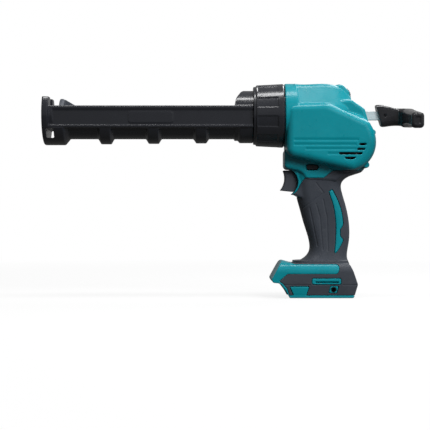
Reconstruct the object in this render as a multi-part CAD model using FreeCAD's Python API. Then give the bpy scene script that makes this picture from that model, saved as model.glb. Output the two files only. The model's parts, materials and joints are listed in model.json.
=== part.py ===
import FreeCAD, Part
import math
import os

from FreeCAD import Vector

# Cordless caulking tool, millimetres. X runs rearwards along the rod, Z is up, -Y is the user's left.
# The origin is on the rod's axis, in the plane where the holder's ring meets the housing.

# Fits
RUN_GAP = 0.3
SHAFT_GAP = 0.03
ROD_GAP = 0.15
BACKLASH = 0.12

# Cartridge holder
CARTRIDGE_RADIUS = 25.0
CARTRIDGE_CLEARANCE = 0.2
TROUGH_WALL = 1.6
TROUGH_SIDE_WALL = 3.7
TROUGH_BEAD = 1.0
TROUGH_RIM = 9.9
TROUGH_LEDGE = -15.2
RIM_BEAD_HEIGHT = 5.0
LEDGE_BEAD_HEIGHT = 3.4
HOLDER_FRONT = -275.2
FRONT_PLATE = 7.8
FRONT_PLATE_RADIUS = 33.6
FRONT_PLATE_TOP = 20.4
FRONT_LIP = 4.4
FRONT_LIP_RADIUS = 30.5
NOZZLE_SLOT_HALF = 10.0
HOOP_RADIUS = 32.6
HOOP_LENGTH = 11.5
HOOP_SLOPE = 3.6
HOOP_FIRST = -209.9
HOOP_PITCH = 54.5
HOOP_COUNT = 3
SLEEVE_FRONT = -57.2
SLEEVE_WALL = 3.5
SLEEVE_RAKE = 7.4
FLANGE_THICKNESS = 3.2
SPIGOT_RADIUS = 31.4
SPIGOT_LENGTH = 14.0
BADGE_LENGTH = 50.0
BADGE_HEIGHT = 13.0
BADGE_CENTRE = -152.0

# Locking ring
RING_FRONT = -35.6
RING_LIP = 3.0
RING_LIP_RADIUS = 33.2
RING_FRONT_RADIUS = 35.0
RING_REAR_RADIUS = 36.6
RING_POCKETS = 10
RING_POCKET_ANGLE = 19.8
RING_POCKET_PHASE = -14.0
RING_POCKET_DEPTH = 1.0
RING_POCKET_FRONT = 1.2
RING_POCKET_REAR = 7.2

# Rod and piston
ROD_WIDTH = 10.0
ROD_HEIGHT = 9.5
ROD_FRONT = -250.2
ROD_REAR = 124.0
RACK_TEETH = 62
RACK_TEETH_BEHIND = 10
RACK_MODULE = 1.5
PRESSURE_ANGLE = 25.0
PISTON_FRONT = -257.0
PISTON_RADIUS = 19.6
PISTON_DISC = 5.2
PISTON_HUB = 9.5
PISTON_LENGTH = 28.0
PISTON_RIBS = 6
PISTON_RIB = 2.4
PISTON_SCREW = 2.5
PISTON_SCREW_HEAD = 4.8
PISTON_SCREW_REACH = 20.0

# Pull handle
HANDLE_FRONT = 104.8
HANDLE_BEND = 126.6
HANDLE_BEND_RADIUS = 14.5
HANDLE_END = -86.0
HANDLE_HALF_HEIGHT = 11.9
HANDLE_HALF_WIDTH = 8.6
HANDLE_END_HALF_HEIGHT = 8.7
HANDLE_END_HALF_WIDTH = 7.0
HANDLE_DROOP = 9.7
HANDLE_RAKE = 0.26
HANDLE_PIN = 1.6
HANDLE_PIN_X = 115.4

# Housing
WALL = 2.5
BARREL_RADIUS = 36.8
BARREL_LENGTH = 14.0
BULGE_HALF = 38.0
BULGE_EDGE = 8.0
DRUM_RADIUS = 34.2
DRUM_HALF = 29.0
NECK_HALF = 20.5
REAR_HALF = 24.0
HUMP_HALF = 11.0
RIM_HALF = 15.5
COVER_SKIN = 2.0
COVER_SEAM = 0.2
COVER_BOTTOM = -169.4
WINDOW_SEAM = 0.6
SKIRT_FRONT = 10.0
SKIRT_REAR = 73.0
SKIRT_HALF = 26.4
SKIRT_TOP = -165.7
SKIRT_CORNER = 18.0
GRIP_WALL = 2.2
LOUVRE_DEPTH = 0.9
LOUVRE_RISE = 3.6
FOOT_HALF = 36.6
FOOT_BOTTOM = -207.3
FOOT_TOP = -168.6
FOOT_SHOULDER = -180.0
BAY_HALF = 31.0
BAY_MOUTH_HALF = 27.0
BAY_LIP = 3.5
BAY_CEILING = -191.5
BAY_REAR = 72.0
HOOK_X = 53.8
HOOK_Z = -197.7
HOOK_THREAD = 2.1
HOOK_INSERT = 2.9
HOOK_SLOT_Z = -189.5
FOOT_HOLLOW_HALF = 30.0
BOSS_RADIUS = 3.8
SCREW_RADIUS = 1.5
SCREW_HEAD = 3.0
SCREW_REACH = 10.0

# Gear train
PINION_X = 35.0
PINION_TEETH = 12
OUTPUT_TEETH = 42
IDLER_PINION_TEETH = 12
IDLER_TEETH = 44
MOTOR_TEETH = 12
OUTPUT_MODULE = 1.0
IDLER_MODULE = 0.75
PINION_WIDTH = 11.0
OUTPUT_SHAFT = 4.0
IDLER_SHAFT = 3.0
MOTOR_SHAFT = 2.0
OUTPUT_BEARING = 8.0
IDLER_BEARING = 6.0
MOTOR_BEARING = 6.0
PLATE = 4.0
CASE_FLANGE = 5.7
FRONT_BUSH = 8.5
REAR_BUSH_WALL = 1.9
REAR_BUSH_FLANGE = 1.2
REAR_BUSH_FRONT = 80.0
REAR_BUSH_LENGTH = 6.5
POST_RADIUS = 3.0
LEFT_PLATE_Y = -11.5
MAIN_PLATE_Y = 8.0
OUTPUT_GEAR_Y = 14.0
OUTPUT_GEAR_WIDTH = 7.0
IDLER_GEAR_Y = 23.0
IDLER_GEAR_WIDTH = 5.0
COVER_Y = 30.0
COVER_PLATE = 3.0

# Motor
MOTOR_X = 69.0
MOTOR_Z = -31.0
CAN_RADIUS = 19.0
CAN_WALL = 1.8
CAN_LENGTH = 32.0
MAGNET = 2.8
ARMATURE_GAP = 0.6
ARMATURE_LENGTH = 16.0
ARMATURE_SLOTS = 10
COMMUTATOR_RADIUS = 6.5
COMMUTATOR_LENGTH = 6.0
END_BELL = 5.0
BRUSH = 4.0
FAN_RADIUS = 17.0
FAN_BLADES = 9
FAN_HEIGHT = 4.0

# Controls
TRIGGER_HALF = 9.5
TRIGGER_TRAVEL = 7.0
TRIGGER_TOP = -62.9
TRIGGER_BOTTOM = -86.9
TRIGGER_EDGE = 1.6
TRIGGER_ARC = 16.85
TRIGGER_ARC_X = -1.65
TRIGGER_ARC_Z = -76.5
FINGER_ARC = 21.4
FINGER_ARC_X = -20.9
FINGER_ARC_Z = -71.7
PLUNGER = 3.0
SWITCH_FRONT = 25.0
SWITCH_REAR = 50.0
SWITCH_TOP = -66.0
SWITCH_BOTTOM = -88.0
SWITCH_HALF = 10.5
BUTTON_X = 31.0
BUTTON_Z = -59.6
BUTTON_LENGTH = 13.4
BUTTON_HEIGHT = 5.5
BUTTON_TRAVEL = 4.0
BUTTON_DISH = 1.2
DIAL_X = 67.0
DIAL_Z = 23.4
DIAL_RADIUS = 9.4
DIAL_HALF = 4.0
DIAL_RIDGES = 24
POT_SIZE = 11.0
POT_DEPTH = 3.6
TERMINAL_HALF = 19.0
TERMINAL_DEPTH = 6.0
TERMINAL_PITCH = 12.0
BOARD = 1.6
LEAD = 1.2

# Outlines: X and Z of each corner, then the corner's radius
BULGE = [(1.5, 11.0, 9.0), (47.5, 12.5, 14.0), (95.0, -8.8, 10.0), (112.1, -49.9, 33.0),
         (75.4, -63.8, 12.0), (1.5, -47.0, 9.0)]
NECK = [(-0.6, -38.0, 5.0), (-0.6, -60.8, 4.5), (18.0, -64.5, 12.0), (24.0, -74.0, 6.0),
        (58.0, -76.0, 6.0), (84.0, -58.0, 8.0), (70.0, -38.0, 5.0)]
REAR = [(54.0, -30.0, 4.0), (54.0, 16.0, 4.0), (75.2, 17.2, 4.0), (90.4, 6.8, 5.0),
        (95.0, -9.0, 8.0), (95.0, -30.0, 4.0)]
HUMP = [(54.0, 16.0, 4.0), (54.0, 33.6, 8.0), (63.0, 35.8, 4.5), (67.3, 34.8, 4.0),
        (74.8, 27.0, 4.0), (74.8, 16.0, 4.0)]
RIM = [(7.2, -58.0), (30.0, -58.0), (30.0, -98.0), (16.2, -93.4, 6.0), (11.4, -90.8, 6.0),
       (7.2, -90.2, 1.0)]
FOOT = [(4.8, FOOT_BOTTOM), (76.8, FOOT_BOTTOM, 2.0), (81.3, -192.0, 5.0), (76.2, -177.0, 12.0),
        (72.0, FOOT_TOP, 4.0), (7.5, FOOT_TOP, 6.0), (-4.2, -165.2, 3.5), (-10.4, -176.5, 10.0),
        (-15.9, -186.6, 2.2), (-14.0, -190.2, 2.2), (-6.4, -190.8, 5.0), (1.6, -201.4, 20.0)]
FOOT_HOLLOW = [(-4.0, -188.5, 2.0), (74.0, -188.5, 2.0), (71.0, -174.0, 4.0), (16.0, -174.0, 4.0),
               (-4.0, -177.0, 3.0)]
PLATE_OUTLINE = [(6.5, 5.0, 4.0), (46.0, 5.0, 8.0), (66.0, -4.0, 8.0), (93.0, -20.0, 6.0),
                 (93.0, -40.0, 8.0), (80.0, -55.5, 6.0), (58.0, -55.0, 6.0), (28.0, -47.0, 6.0),
                 (6.5, -40.0, 4.0)]
LEFT_OUTLINE = [(6.5, 4.0, 3.0), (47.0, 4.0, 6.0), (47.0, -24.0, 8.0), (6.5, -26.0, 3.0)]
POSTS = [(12.5, -0.5), (14.0, -33.5), (74.0, -50.5), (87.5, -22.5), (61.0, -7.5)]
COVER_EDGE = [(120.0, -63.2), (54.4, -63.2, 3.0), (43.5, -71.8, 4.0), (22.7, -71.8, 5.0),
              (17.6, -78.5, 8.0), (13.6, -86.5, 10.0), (4.0, -94.0), (SKIRT_FRONT - 0.5, COVER_BOTTOM),
              (120.0, COVER_BOTTOM)]
INLAY = [(50.2, -87.4, 1.0), (53.8, -84.8, 1.0), (60.2, -96.8, 60.0), (64.9, -109.6, 60.0),
         (66.9, -124.9, 8.0), (62.8, -130.2, 2.5), (63.1, -138.2, 2.5), (66.7, -142.1, 2.0),
         (62.8, -150.2, 20.0), (56.4, -158.8, 0.8), (58.1, -142.8, 60.0), (58.4, -122.8, 60.0),
         (56.0, -104.2, 60.0)]
STRIP = [(-7.4, -188.2, 0.6), (2.0, -180.2, 3.0), (58.4, -180.2, 3.0), (60.6, -174.2, 2.0),
         (59.4, -170.6, 1.0), (56.4, -168.8, 0.6), (56.4, -166.0), (90.0, -166.0), (90.0, -204.2),
         (3.9, -204.2, 1.0), (1.6, -196.6, 8.0), (-2.8, -191.4, 4.0)]
SLOT_WINDOW = [(29.8, -185.3, 1.2), (62.0, -185.3, 1.2), (62.0, -191.7, 1.2), (29.8, -191.7, 1.2)]
BADGE_WINDOW = [(4.8, -194.4, 0.8), (26.2, -194.4, 0.8), (23.4, -203.2, 0.8), (8.4, -203.2, 0.8)]
HOOK_WINDOW = [(50.4, -193.9, 0.8), (59.2, -193.9, 0.8), (57.2, -201.5, 0.8), (48.4, -201.5, 0.8)]
VENTS = [[(82.7, -33.2, 0.8), (91.0, -33.2, 0.8), (90.2, -35.5, 0.8), (82.0, -35.5, 0.8)],
         [(80.4, -38.7, 0.8), (89.6, -38.7, 0.8), (88.6, -40.9, 0.8), (79.4, -40.9, 0.8)],
         [(58.6, -43.5, 0.8), (87.2, -43.5, 0.8), (84.8, -46.0, 0.8), (60.6, -46.0, 0.8)],
         [(64.6, -48.7, 0.6), (81.2, -48.7, 0.6), (74.6, -51.6, 4.0), (68.0, -51.0, 4.0)]]
LOUVRES = [(9.0, 82.0, -30.6), (9.0, 79.5, -36.0), (22.0, 79.0, -41.0), (47.0, 60.0, -46.4)]
FOOT_PROFILE = [(-35.4, FOOT_BOTTOM), (-35.4, -204.6, 1.0), (-FOOT_HALF, -192.0, 2.0),
                (-FOOT_HALF, -169.2, 11.0), (-22.0, -166.0, 8.0), (-20.0, -160.0), (20.0, -160.0),
                (22.0, -166.0, 8.0), (FOOT_HALF, -169.2, 11.0), (FOOT_HALF, -192.0, 2.0),
                (35.4, -204.6, 1.0), (35.4, FOOT_BOTTOM)]

# Stations of the upper body: X, top height, top half width, shoulder height, side half width
UPPER = [(11.0, 36.2, 15.0, 9.0, 33.0), (36.0, 35.9, 14.0, 9.0, 32.0), (60.0, 33.8, 12.0, 8.0, 29.0),
         (76.0, 22.0, 9.0, 4.0, 22.0)]

# Stations of the grip: Z, front X, rear X, half width
GRIP = [(-60.0, 9.0, 92.0, 19.0), (-65.8, 10.0, 86.0, 19.0), (-70.3, 11.0, 73.0, 19.0),
        (-76.2, 12.0, 66.2, 18.8), (-88.0, 13.3, 66.2, 18.3), (-104.0, 17.3, 70.8, 17.6),
        (-124.8, 23.1, 74.5, 17.0), (-145.0, 28.9, 74.1, 17.2), (-156.0, 28.2, 72.3, 18.4),
        (-163.5, 21.5, 72.3, 21.0), (-170.0, 11.0, 75.0, 25.4)]

# Housing screws: X, Z, seat of the head on the right side
SCREWS = [(22.0, 27.0, 13.0), (46.0, 25.0, 13.0), (99.8, -20.2, 16.0), (92.6, -57.0, 16.0),
          (5.0, -54.0, 14.0), (58.5, -80.0, 9.0), (50.0, -150.0, 11.0), (70.5, -181.0, 22.0),
          (-2.0, -176.0, 22.0)]

Y_AXIS = Vector(0, 1, 0)
X_AXIS = Vector(1, 0, 0)


def side(y):
    return lambda u, v: Vector(u, y, v)


def across(x):
    return lambda u, v: Vector(x, u, v)


def level(z):
    return lambda u, v: Vector(u, v, z)


def rounded_wire(points, place, closed=True):
    spots = [place(*p[:2]) for p in points]
    radii = [p[2] if len(p) > 2 else 0.0 for p in points]
    count = len(spots)
    corners = []
    for i in range(count):
        here = spots[i]
        if radii[i] <= 0.0:
            corners.append((here, None, here))
            continue
        back = (spots[i - 1] - here).normalize()
        ahead = (spots[(i + 1) % count] - here).normalize()
        half = back.getAngle(ahead) / 2.0
        reach = radii[i] / math.tan(half)
        middle = here + (back + ahead).normalize() * (radii[i] / math.sin(half) - radii[i])
        corners.append((here + back * reach, middle, here + ahead * reach))
    edges = []
    for i in range(count):
        start, middle, end = corners[i]
        if middle is not None:
            edges.append(Part.Arc(start, middle, end).toShape())
        if i == count - 1 and not closed:
            break
        following = corners[(i + 1) % count][0]
        if end.distanceToPoint(following) > 1e-6:
            edges.append(Part.makeLine(end, following))
    return Part.Wire(edges)


def inset(points, depth):
    count = len(points)
    area = 0.0
    for i in range(count):
        area += points[i - 1][0] * points[i][1] - points[i][0] * points[i - 1][1]
    turn = 1.0 if area > 0.0 else -1.0
    moved = []
    for i in range(count):
        before, here, after = points[i - 1], points[i], points[(i + 1) % count]
        d1 = Vector(here[0] - before[0], here[1] - before[1], 0).normalize()
        d2 = Vector(after[0] - here[0], after[1] - here[1], 0).normalize()
        n1 = Vector(-d1.y, d1.x, 0) * turn
        n2 = Vector(-d2.y, d2.x, 0) * turn
        shift = (n1 + n2) * (depth / (1.0 + n1.dot(n2)))
        convex = (d1.x * d2.y - d1.y * d2.x) * turn > 0.0
        radius = here[2] if len(here) > 2 else 0.0
        if radius > 0.0:
            radius = max(radius - depth, 0.3) if convex else radius + depth
        moved.append((here[0] + shift.x, here[1] + shift.y, radius))
    return moved


def prism(points, y0, y1):
    return Part.Face(rounded_wire(points, side(y0))).extrude(Vector(0, y1 - y0, 0))


def bar(points, x0, x1):
    return Part.Face(rounded_wire(points, across(x0))).extrude(Vector(x1 - x0, 0, 0))


def block(x0, x1, y0, y1, z0, z1):
    return Part.makeBox(x1 - x0, y1 - y0, z1 - z0, Vector(x0, y0, z0))


def rod_y(x, z, radius, y0, y1):
    return Part.makeCylinder(radius, y1 - y0, Vector(x, y0, z), Y_AXIS)


def rod_x(radius, x0, x1, y=0.0, z=0.0):
    return Part.makeCylinder(radius, x1 - x0, Vector(x0, y, z), X_AXIS)


def ring_y(x, z, outer, inner, y0, y1):
    return rod_y(x, z, outer, y0, y1).cut(rod_y(x, z, inner, y0, y1))


def turned(profile):
    wire = rounded_wire(profile, lambda u, v: Vector(u, 0, v))
    return Part.Face(wire).revolve(Vector(0, 0, 0), X_AXIS, 360)


def cap_edges(solid, half):
    return [e for e in solid.Edges if e.BoundBox.YLength < 1e-6 and abs(abs(e.BoundBox.YMin) - half) < 1e-6]


def soft_prism(points, half, edge, depth=0.0):
    half = half - depth
    solid = prism(inset(points, depth) if depth else points, -half, half)
    return solid.makeFillet(max(edge - depth, 0.4), cap_edges(solid, half))


def fused(shapes):
    return shapes[0].fuse(shapes[1:]).removeSplitter()


def mirrored(shape):
    return shape.mirror(Vector(0, 0, 0), Y_AXIS)


def spur(teeth, module, bore, x, z, y0, y1, phase):
    pitch = teeth * module / 2.0
    base = pitch * math.cos(math.radians(PRESSURE_ANGLE))
    root = pitch - 1.25 * module
    tip = pitch + module
    start = max(base, root)
    slope = math.radians(PRESSURE_ANGLE)
    level_half = (math.pi * module / 2.0 - BACKLASH / 2.0) / (2.0 * pitch) + math.tan(slope) - slope

    def half_angle(radius):
        lean = math.acos(min(1.0, base / radius))
        return level_half - (math.tan(lean) - lean)

    def spot(radius, angle):
        return Vector(x + radius * math.cos(angle), y0, z + radius * math.sin(angle))

    steps = 5
    radii = [start + (tip - start) * i / steps for i in range(steps + 1)]
    pitch_angle = 2.0 * math.pi / teeth
    edges = []
    for k in range(teeth):
        centre = phase + k * pitch_angle
        rising = [spot(r, centre - half_angle(r)) for r in radii]
        falling = [spot(r, centre + half_angle(r)) for r in reversed(radii)]
        foot_in = spot(root, centre - half_angle(start))
        foot_out = spot(root, centre + half_angle(start))
        next_in = spot(root, centre + pitch_angle - half_angle(start))
        if start > root + 1e-6:
            edges.append(Part.makeLine(foot_in, rising[0]))
        up = Part.BSplineCurve()
        up.interpolate(rising)
        edges.append(up.toShape())
        edges.append(Part.Arc(rising[-1], spot(tip, centre), falling[0]).toShape())
        down = Part.BSplineCurve()
        down.interpolate(falling)
        edges.append(down.toShape())
        if start > root + 1e-6:
            edges.append(Part.makeLine(falling[-1], foot_out))
        edges.append(Part.Arc(foot_out, spot(root, centre + pitch_angle / 2.0), next_in).toShape())
    gear = Part.Face(Part.Wire(edges)).extrude(Vector(0, y1 - y0, 0))
    if bore > 0.0:
        gear = gear.cut(rod_y(x, z, bore, y0, y1))
    return gear


def mesh_phase(angle, phase, teeth, next_teeth):
    return angle + math.pi + math.pi / next_teeth - (phase - angle) * teeth / next_teeth


def tube_along(points, bend, radius):
    count = len(points)
    edges = []
    last = points[0]
    for i in range(1, count - 1):
        here = points[i]
        back = (points[i - 1] - here).normalize()
        ahead = (points[i + 1] - here).normalize()
        half = back.getAngle(ahead) / 2.0
        reach = bend / math.tan(half)
        middle = here + (back + ahead).normalize() * (bend / math.sin(half) - bend)
        edges.append(Part.makeLine(last, here + back * reach))
        edges.append(Part.Arc(here + back * reach, middle, here + ahead * reach).toShape())
        last = here + ahead * reach
    edges.append(Part.makeLine(last, points[-1]))
    ring = Part.Wire(Part.makeCircle(radius, points[0], points[1] - points[0]))
    return Part.Wire(edges).makePipeShell([ring], True, False)


parts = {}

# Gear positions: the idler hangs below the line from the output shaft to the motor
rod_half = ROD_HEIGHT / 2.0
pinion_pitch = PINION_TEETH * RACK_MODULE / 2.0
rack_line = -rod_half + RACK_MODULE
pinion_z = rack_line - pinion_pitch
reach_out = (OUTPUT_TEETH + IDLER_PINION_TEETH) * OUTPUT_MODULE / 2.0
reach_in = (IDLER_TEETH + MOTOR_TEETH) * IDLER_MODULE / 2.0
span_x = MOTOR_X - PINION_X
span_z = MOTOR_Z - pinion_z
span = math.hypot(span_x, span_z)
along = (reach_out ** 2 - reach_in ** 2 + span ** 2) / (2.0 * span)
drop = math.sqrt(reach_out ** 2 - along ** 2)
idler_x = PINION_X + (along * span_x + drop * span_z) / span
idler_z = pinion_z + (along * span_z - drop * span_x) / span

pinion_phase = math.pi / 2.0 + math.pi / PINION_TEETH
output_angle = math.atan2(idler_z - pinion_z, idler_x - PINION_X)
output_phase = output_angle
idler_pinion_phase = mesh_phase(output_angle, output_phase, OUTPUT_TEETH, IDLER_PINION_TEETH)
idler_angle = math.atan2(MOTOR_Z - idler_z, MOTOR_X - idler_x)
idler_phase = idler_angle
motor_phase = mesh_phase(idler_angle, idler_phase, IDLER_TEETH, MOTOR_TEETH)

# Cartridge holder
chamber = CARTRIDGE_RADIUS + CARTRIDGE_CLEARANCE
trough_outer = chamber + TROUGH_WALL
trough_side = chamber + TROUGH_SIDE_WALL
bead_side = trough_side + TROUGH_BEAD
plate_back = HOLDER_FRONT + FRONT_PLATE
flange_rear = -SPIGOT_LENGTH - RUN_GAP / 2.0
flange_front = flange_rear - FLANGE_THICKNESS
sleeve_outer = chamber + SLEEVE_WALL
panel_end = RING_FRONT - RUN_GAP


def trough_shape(half, bottom_radius, top, x0, x1):
    box = block(x0, x1, -half, half, TROUGH_LEDGE, top)
    floor = rod_x(bottom_radius, x0, x1)
    floor = floor.common(block(x0, x1, -half, half, -bottom_radius - 1.0, TROUGH_LEDGE + 1.0))
    return box.fuse(floor)


def below(z):
    return block(HOLDER_FRONT - 1.0, 0.0, -60.0, 60.0, -60.0, z)


def hoop(x0, slope_front, length, slope_rear, radius):
    foot = trough_outer - 0.5
    return turned([(x0 - slope_front, foot), (x0, radius), (x0 + length, radius),
                   (x0 + length + slope_rear, foot), (x0 + length, chamber - 1.0), (x0, chamber - 1.0)])


trough = trough_shape(trough_side, trough_outer, TROUGH_RIM, plate_back - 1.0, panel_end)
bead_start = plate_back - 1.0
for z0, z1 in ((TROUGH_RIM - RIM_BEAD_HEIGHT, TROUGH_RIM), (TROUGH_LEDGE, TROUGH_LEDGE + LEDGE_BEAD_HEIGHT)):
    half_bead = (z1 - z0) / 2.0
    bead_round = (half_bead * half_bead + TROUGH_BEAD * TROUGH_BEAD) / (2.0 * TROUGH_BEAD)
    for y0, y1, centre_y in ((-bead_side, -trough_side + 0.5, bead_round - bead_side),
                             (trough_side - 0.5, bead_side, bead_side - bead_round)):
        bead = Part.makeCylinder(bead_round, panel_end - bead_start,
                                 Vector(bead_start, centre_y, z0 + half_bead), X_AXIS)
        trough = trough.fuse(bead.common(block(bead_start, panel_end, y0, y1, z0, z1)))
badge_mid = (TROUGH_RIM - RIM_BEAD_HEIGHT + TROUGH_LEDGE + LEDGE_BEAD_HEIGHT) / 2.0
badge_r = 3.0
badge = prism([(BADGE_CENTRE - BADGE_LENGTH / 2.0, badge_mid - BADGE_HEIGHT / 2.0, badge_r),
               (BADGE_CENTRE + BADGE_LENGTH / 2.0, badge_mid - BADGE_HEIGHT / 2.0, badge_r),
               (BADGE_CENTRE + BADGE_LENGTH / 2.0, badge_mid + BADGE_HEIGHT / 2.0, badge_r),
               (BADGE_CENTRE - BADGE_LENGTH / 2.0, badge_mid + BADGE_HEIGHT / 2.0, badge_r)],
              -trough_side - TROUGH_BEAD / 2.0, trough_side + TROUGH_BEAD / 2.0)
hoops = [hoop(HOOP_FIRST + i * HOOP_PITCH, HOOP_SLOPE, HOOP_LENGTH, HOOP_SLOPE, HOOP_RADIUS - 0.5 * i)
         for i in range(HOOP_COUNT)]
hoops.append(hoop(plate_back - 1.0, 0.0, 17.4, 6.0, FRONT_PLATE_RADIUS))
hoops.append(hoop(SLEEVE_FRONT + 6.0, 4.0, RING_FRONT - RUN_GAP - SLEEVE_FRONT - 6.0, 0.0,
                  sleeve_outer + 2.6))
hoops = [h.common(below(TROUGH_LEDGE)) for h in hoops]
front_plate = rod_x(FRONT_PLATE_RADIUS, HOLDER_FRONT, plate_back)
front_plate = front_plate.makeFillet(2.0, [e for e in front_plate.Edges if e.BoundBox.XLength < 1e-6])
front_lip = rod_x(FRONT_LIP_RADIUS, plate_back - 1.0, plate_back + FRONT_LIP).common(below(TROUGH_RIM))
front = front_plate.fuse(front_lip)
front = front.common(block(HOLDER_FRONT, 0.0, -40.0, 40.0, -40.0, FRONT_PLATE_TOP))
sleeve = rod_x(sleeve_outer, SLEEVE_FRONT, flange_rear)
flange = rod_x(SPIGOT_RADIUS, flange_front, flange_rear)
holder = trough.fuse([badge, front, sleeve, flange] + hoops)
chamber_cut = rod_x(chamber, plate_back, 1.0)
chamber_cut = chamber_cut.fuse(block(plate_back, SLEEVE_FRONT + 0.5, -chamber, chamber, 0.0, 60.0))
holder = holder.cut(chamber_cut)
rake_top = sleeve_outer + 1.0
rake = prism([(SLEEVE_FRONT - 2.0, TROUGH_RIM), (SLEEVE_FRONT, TROUGH_RIM),
              (SLEEVE_FRONT + 0.2 * SLEEVE_RAKE, TROUGH_RIM + 8.6, 16.0),
              (SLEEVE_FRONT + SLEEVE_RAKE, TROUGH_RIM + 17.0, 6.0),
              (SLEEVE_FRONT + 1.6 * SLEEVE_RAKE, rake_top), (SLEEVE_FRONT - 2.0, rake_top)], -40.0, 40.0)
nozzle_slot = rod_x(NOZZLE_SLOT_HALF, HOLDER_FRONT - 1.0, plate_back + FRONT_LIP)
nozzle_slot = nozzle_slot.fuse(block(HOLDER_FRONT - 1.0, plate_back + FRONT_LIP, -NOZZLE_SLOT_HALF,
                                     NOZZLE_SLOT_HALF, 0.0, 40.0))
window = prism([(plate_back - 3.0, -26.2, 0.8), (plate_back + 5.6, -26.2, 0.8),
                (plate_back + 5.6, -15.8, 0.8), (plate_back - 3.0, -15.8, 0.8)], -50.0, 50.0)
holder = holder.cut([rake, nozzle_slot, window]).removeSplitter()
parts["holder"] = holder

# Locking ring
ring_bore = sleeve_outer + RUN_GAP
ring_thread = SPIGOT_RADIUS + RUN_GAP
ring_rear = -2.0 * RUN_GAP
shoulder = flange_front - RUN_GAP / 2.0
skin_front = RING_FRONT + RING_LIP
ring = turned([(RING_FRONT, ring_bore), (RING_FRONT, RING_LIP_RADIUS, 0.8), (skin_front, RING_LIP_RADIUS),
               (skin_front, RING_FRONT_RADIUS, 1.4), (ring_rear, RING_REAR_RADIUS, 1.8),
               (ring_rear, ring_thread), (shoulder, ring_thread), (shoulder, ring_bore)])
pocket_front = skin_front + RING_POCKET_FRONT
pocket_rear = ring_rear - RING_POCKET_REAR
taper = (RING_REAR_RADIUS - RING_FRONT_RADIUS) / (ring_rear - skin_front)
low_front = RING_FRONT_RADIUS + taper * (pocket_front - skin_front) - RING_POCKET_DEPTH
low_rear = RING_FRONT_RADIUS + taper * (pocket_rear - skin_front) - RING_POCKET_DEPTH
band = turned([(pocket_front, low_front), (pocket_front, RING_REAR_RADIUS + 2.0),
               (pocket_rear, RING_REAR_RADIUS + 2.0), (pocket_rear, low_rear)])
half_pocket = math.radians(RING_POCKET_ANGLE / 2.0)
wedges = []
for i in range(RING_POCKETS):
    angle = math.radians(RING_POCKET_PHASE + i * 360.0 / RING_POCKETS)
    spread = 60.0 * math.tan(half_pocket)
    wedge = bar([(0.0, 0.0), (-60.0, spread), (-60.0, -spread)], pocket_front - 1.0, pocket_rear + 1.0)
    wedge.rotate(Vector(0, 0, 0), X_AXIS, -math.degrees(angle))
    wedges.append(wedge)
pockets = band.common(wedges[0].fuse(wedges[1:]))
parts["holder_ring"] = ring.cut(pockets)

# Rod with rack teeth on its underside
pitch = math.pi * RACK_MODULE
rack_deep = rack_line + 1.25 * RACK_MODULE
tooth_half = pitch / 4.0 - BACKLASH / 4.0
lean = math.tan(math.radians(PRESSURE_ANGLE))
tip_half = tooth_half - RACK_MODULE * lean
foot_half = tooth_half + 1.25 * RACK_MODULE * lean
rack_last = PINION_X + RACK_TEETH_BEHIND * pitch
rack_first = rack_last - (RACK_TEETH - 1) * pitch
profile = [(ROD_FRONT, rod_half), (ROD_FRONT, -rod_half), (rack_first - pitch + tip_half, -rod_half),
           (rack_first - pitch + foot_half, rack_deep)]
for i in range(RACK_TEETH):
    centre = rack_first + i * pitch
    profile += [(centre - foot_half, rack_deep), (centre - tip_half, -rod_half),
                (centre + tip_half, -rod_half), (centre + foot_half, rack_deep)]
profile += [(rack_last + pitch - foot_half, rack_deep), (rack_last + pitch - tip_half, -rod_half),
            (ROD_REAR, -rod_half), (ROD_REAR, rod_half)]
rod = prism(profile, -ROD_WIDTH / 2.0, ROD_WIDTH / 2.0)
screw_end = PISTON_FRONT + PISTON_SCREW_REACH
rod = rod.cut(rod_x(PISTON_SCREW, ROD_FRONT - 1.0, screw_end))
pin_hole = rod_y(HANDLE_PIN_X, 0.0, HANDLE_PIN, -40.0, 40.0)
parts["rod"] = rod.cut(pin_hole)

# Piston on the rod's end, held by a countersunk screw
disc_back = PISTON_FRONT + PISTON_DISC
piston_end = PISTON_FRONT + PISTON_LENGTH
piston = turned([(PISTON_FRONT, 0.0), (PISTON_FRONT, PISTON_RADIUS, 1.2), (disc_back - 2.0, PISTON_RADIUS),
                 (disc_back, PISTON_RADIUS - 1.0), (disc_back, PISTON_HUB), (piston_end, PISTON_HUB, 0.8),
                 (piston_end, 0.0)])
for i in range(PISTON_RIBS):
    rib = prism([(disc_back - 0.5, PISTON_HUB - 1.5), (disc_back - 0.5, PISTON_RADIUS - 1.2),
                 (disc_back + 1.0, PISTON_RADIUS - 1.2), (piston_end - 4.0, PISTON_HUB - 1.5)],
                -PISTON_RIB / 2.0, PISTON_RIB / 2.0)
    rib.rotate(Vector(0, 0, 0), X_AXIS, 360.0 * i / PISTON_RIBS)
    piston = piston.fuse(rib)
piston = piston.cut(block(ROD_FRONT, piston_end + 1.0, -ROD_WIDTH / 2.0, ROD_WIDTH / 2.0, -rod_half,
                          rod_half))
head_depth = PISTON_SCREW_HEAD - PISTON_SCREW
screw = turned([(PISTON_FRONT, 0.0), (PISTON_FRONT, PISTON_SCREW_HEAD),
                (PISTON_FRONT + head_depth, PISTON_SCREW), (screw_end, PISTON_SCREW), (screw_end, 0.0)])
parts["piston"] = piston.cut(screw).removeSplitter()
cross = block(PISTON_FRONT - 1.0, PISTON_FRONT + 1.4, -2.6, 2.6, -0.5, 0.5)
cross = cross.fuse(block(PISTON_FRONT - 1.0, PISTON_FRONT + 1.4, -0.5, 0.5, -2.6, 2.6))
parts["piston_screw"] = screw.cut(cross)

# Pull handle: a barrel on the rod that bends to the left and droops
bend_y = -HANDLE_BEND_RADIUS


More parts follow.
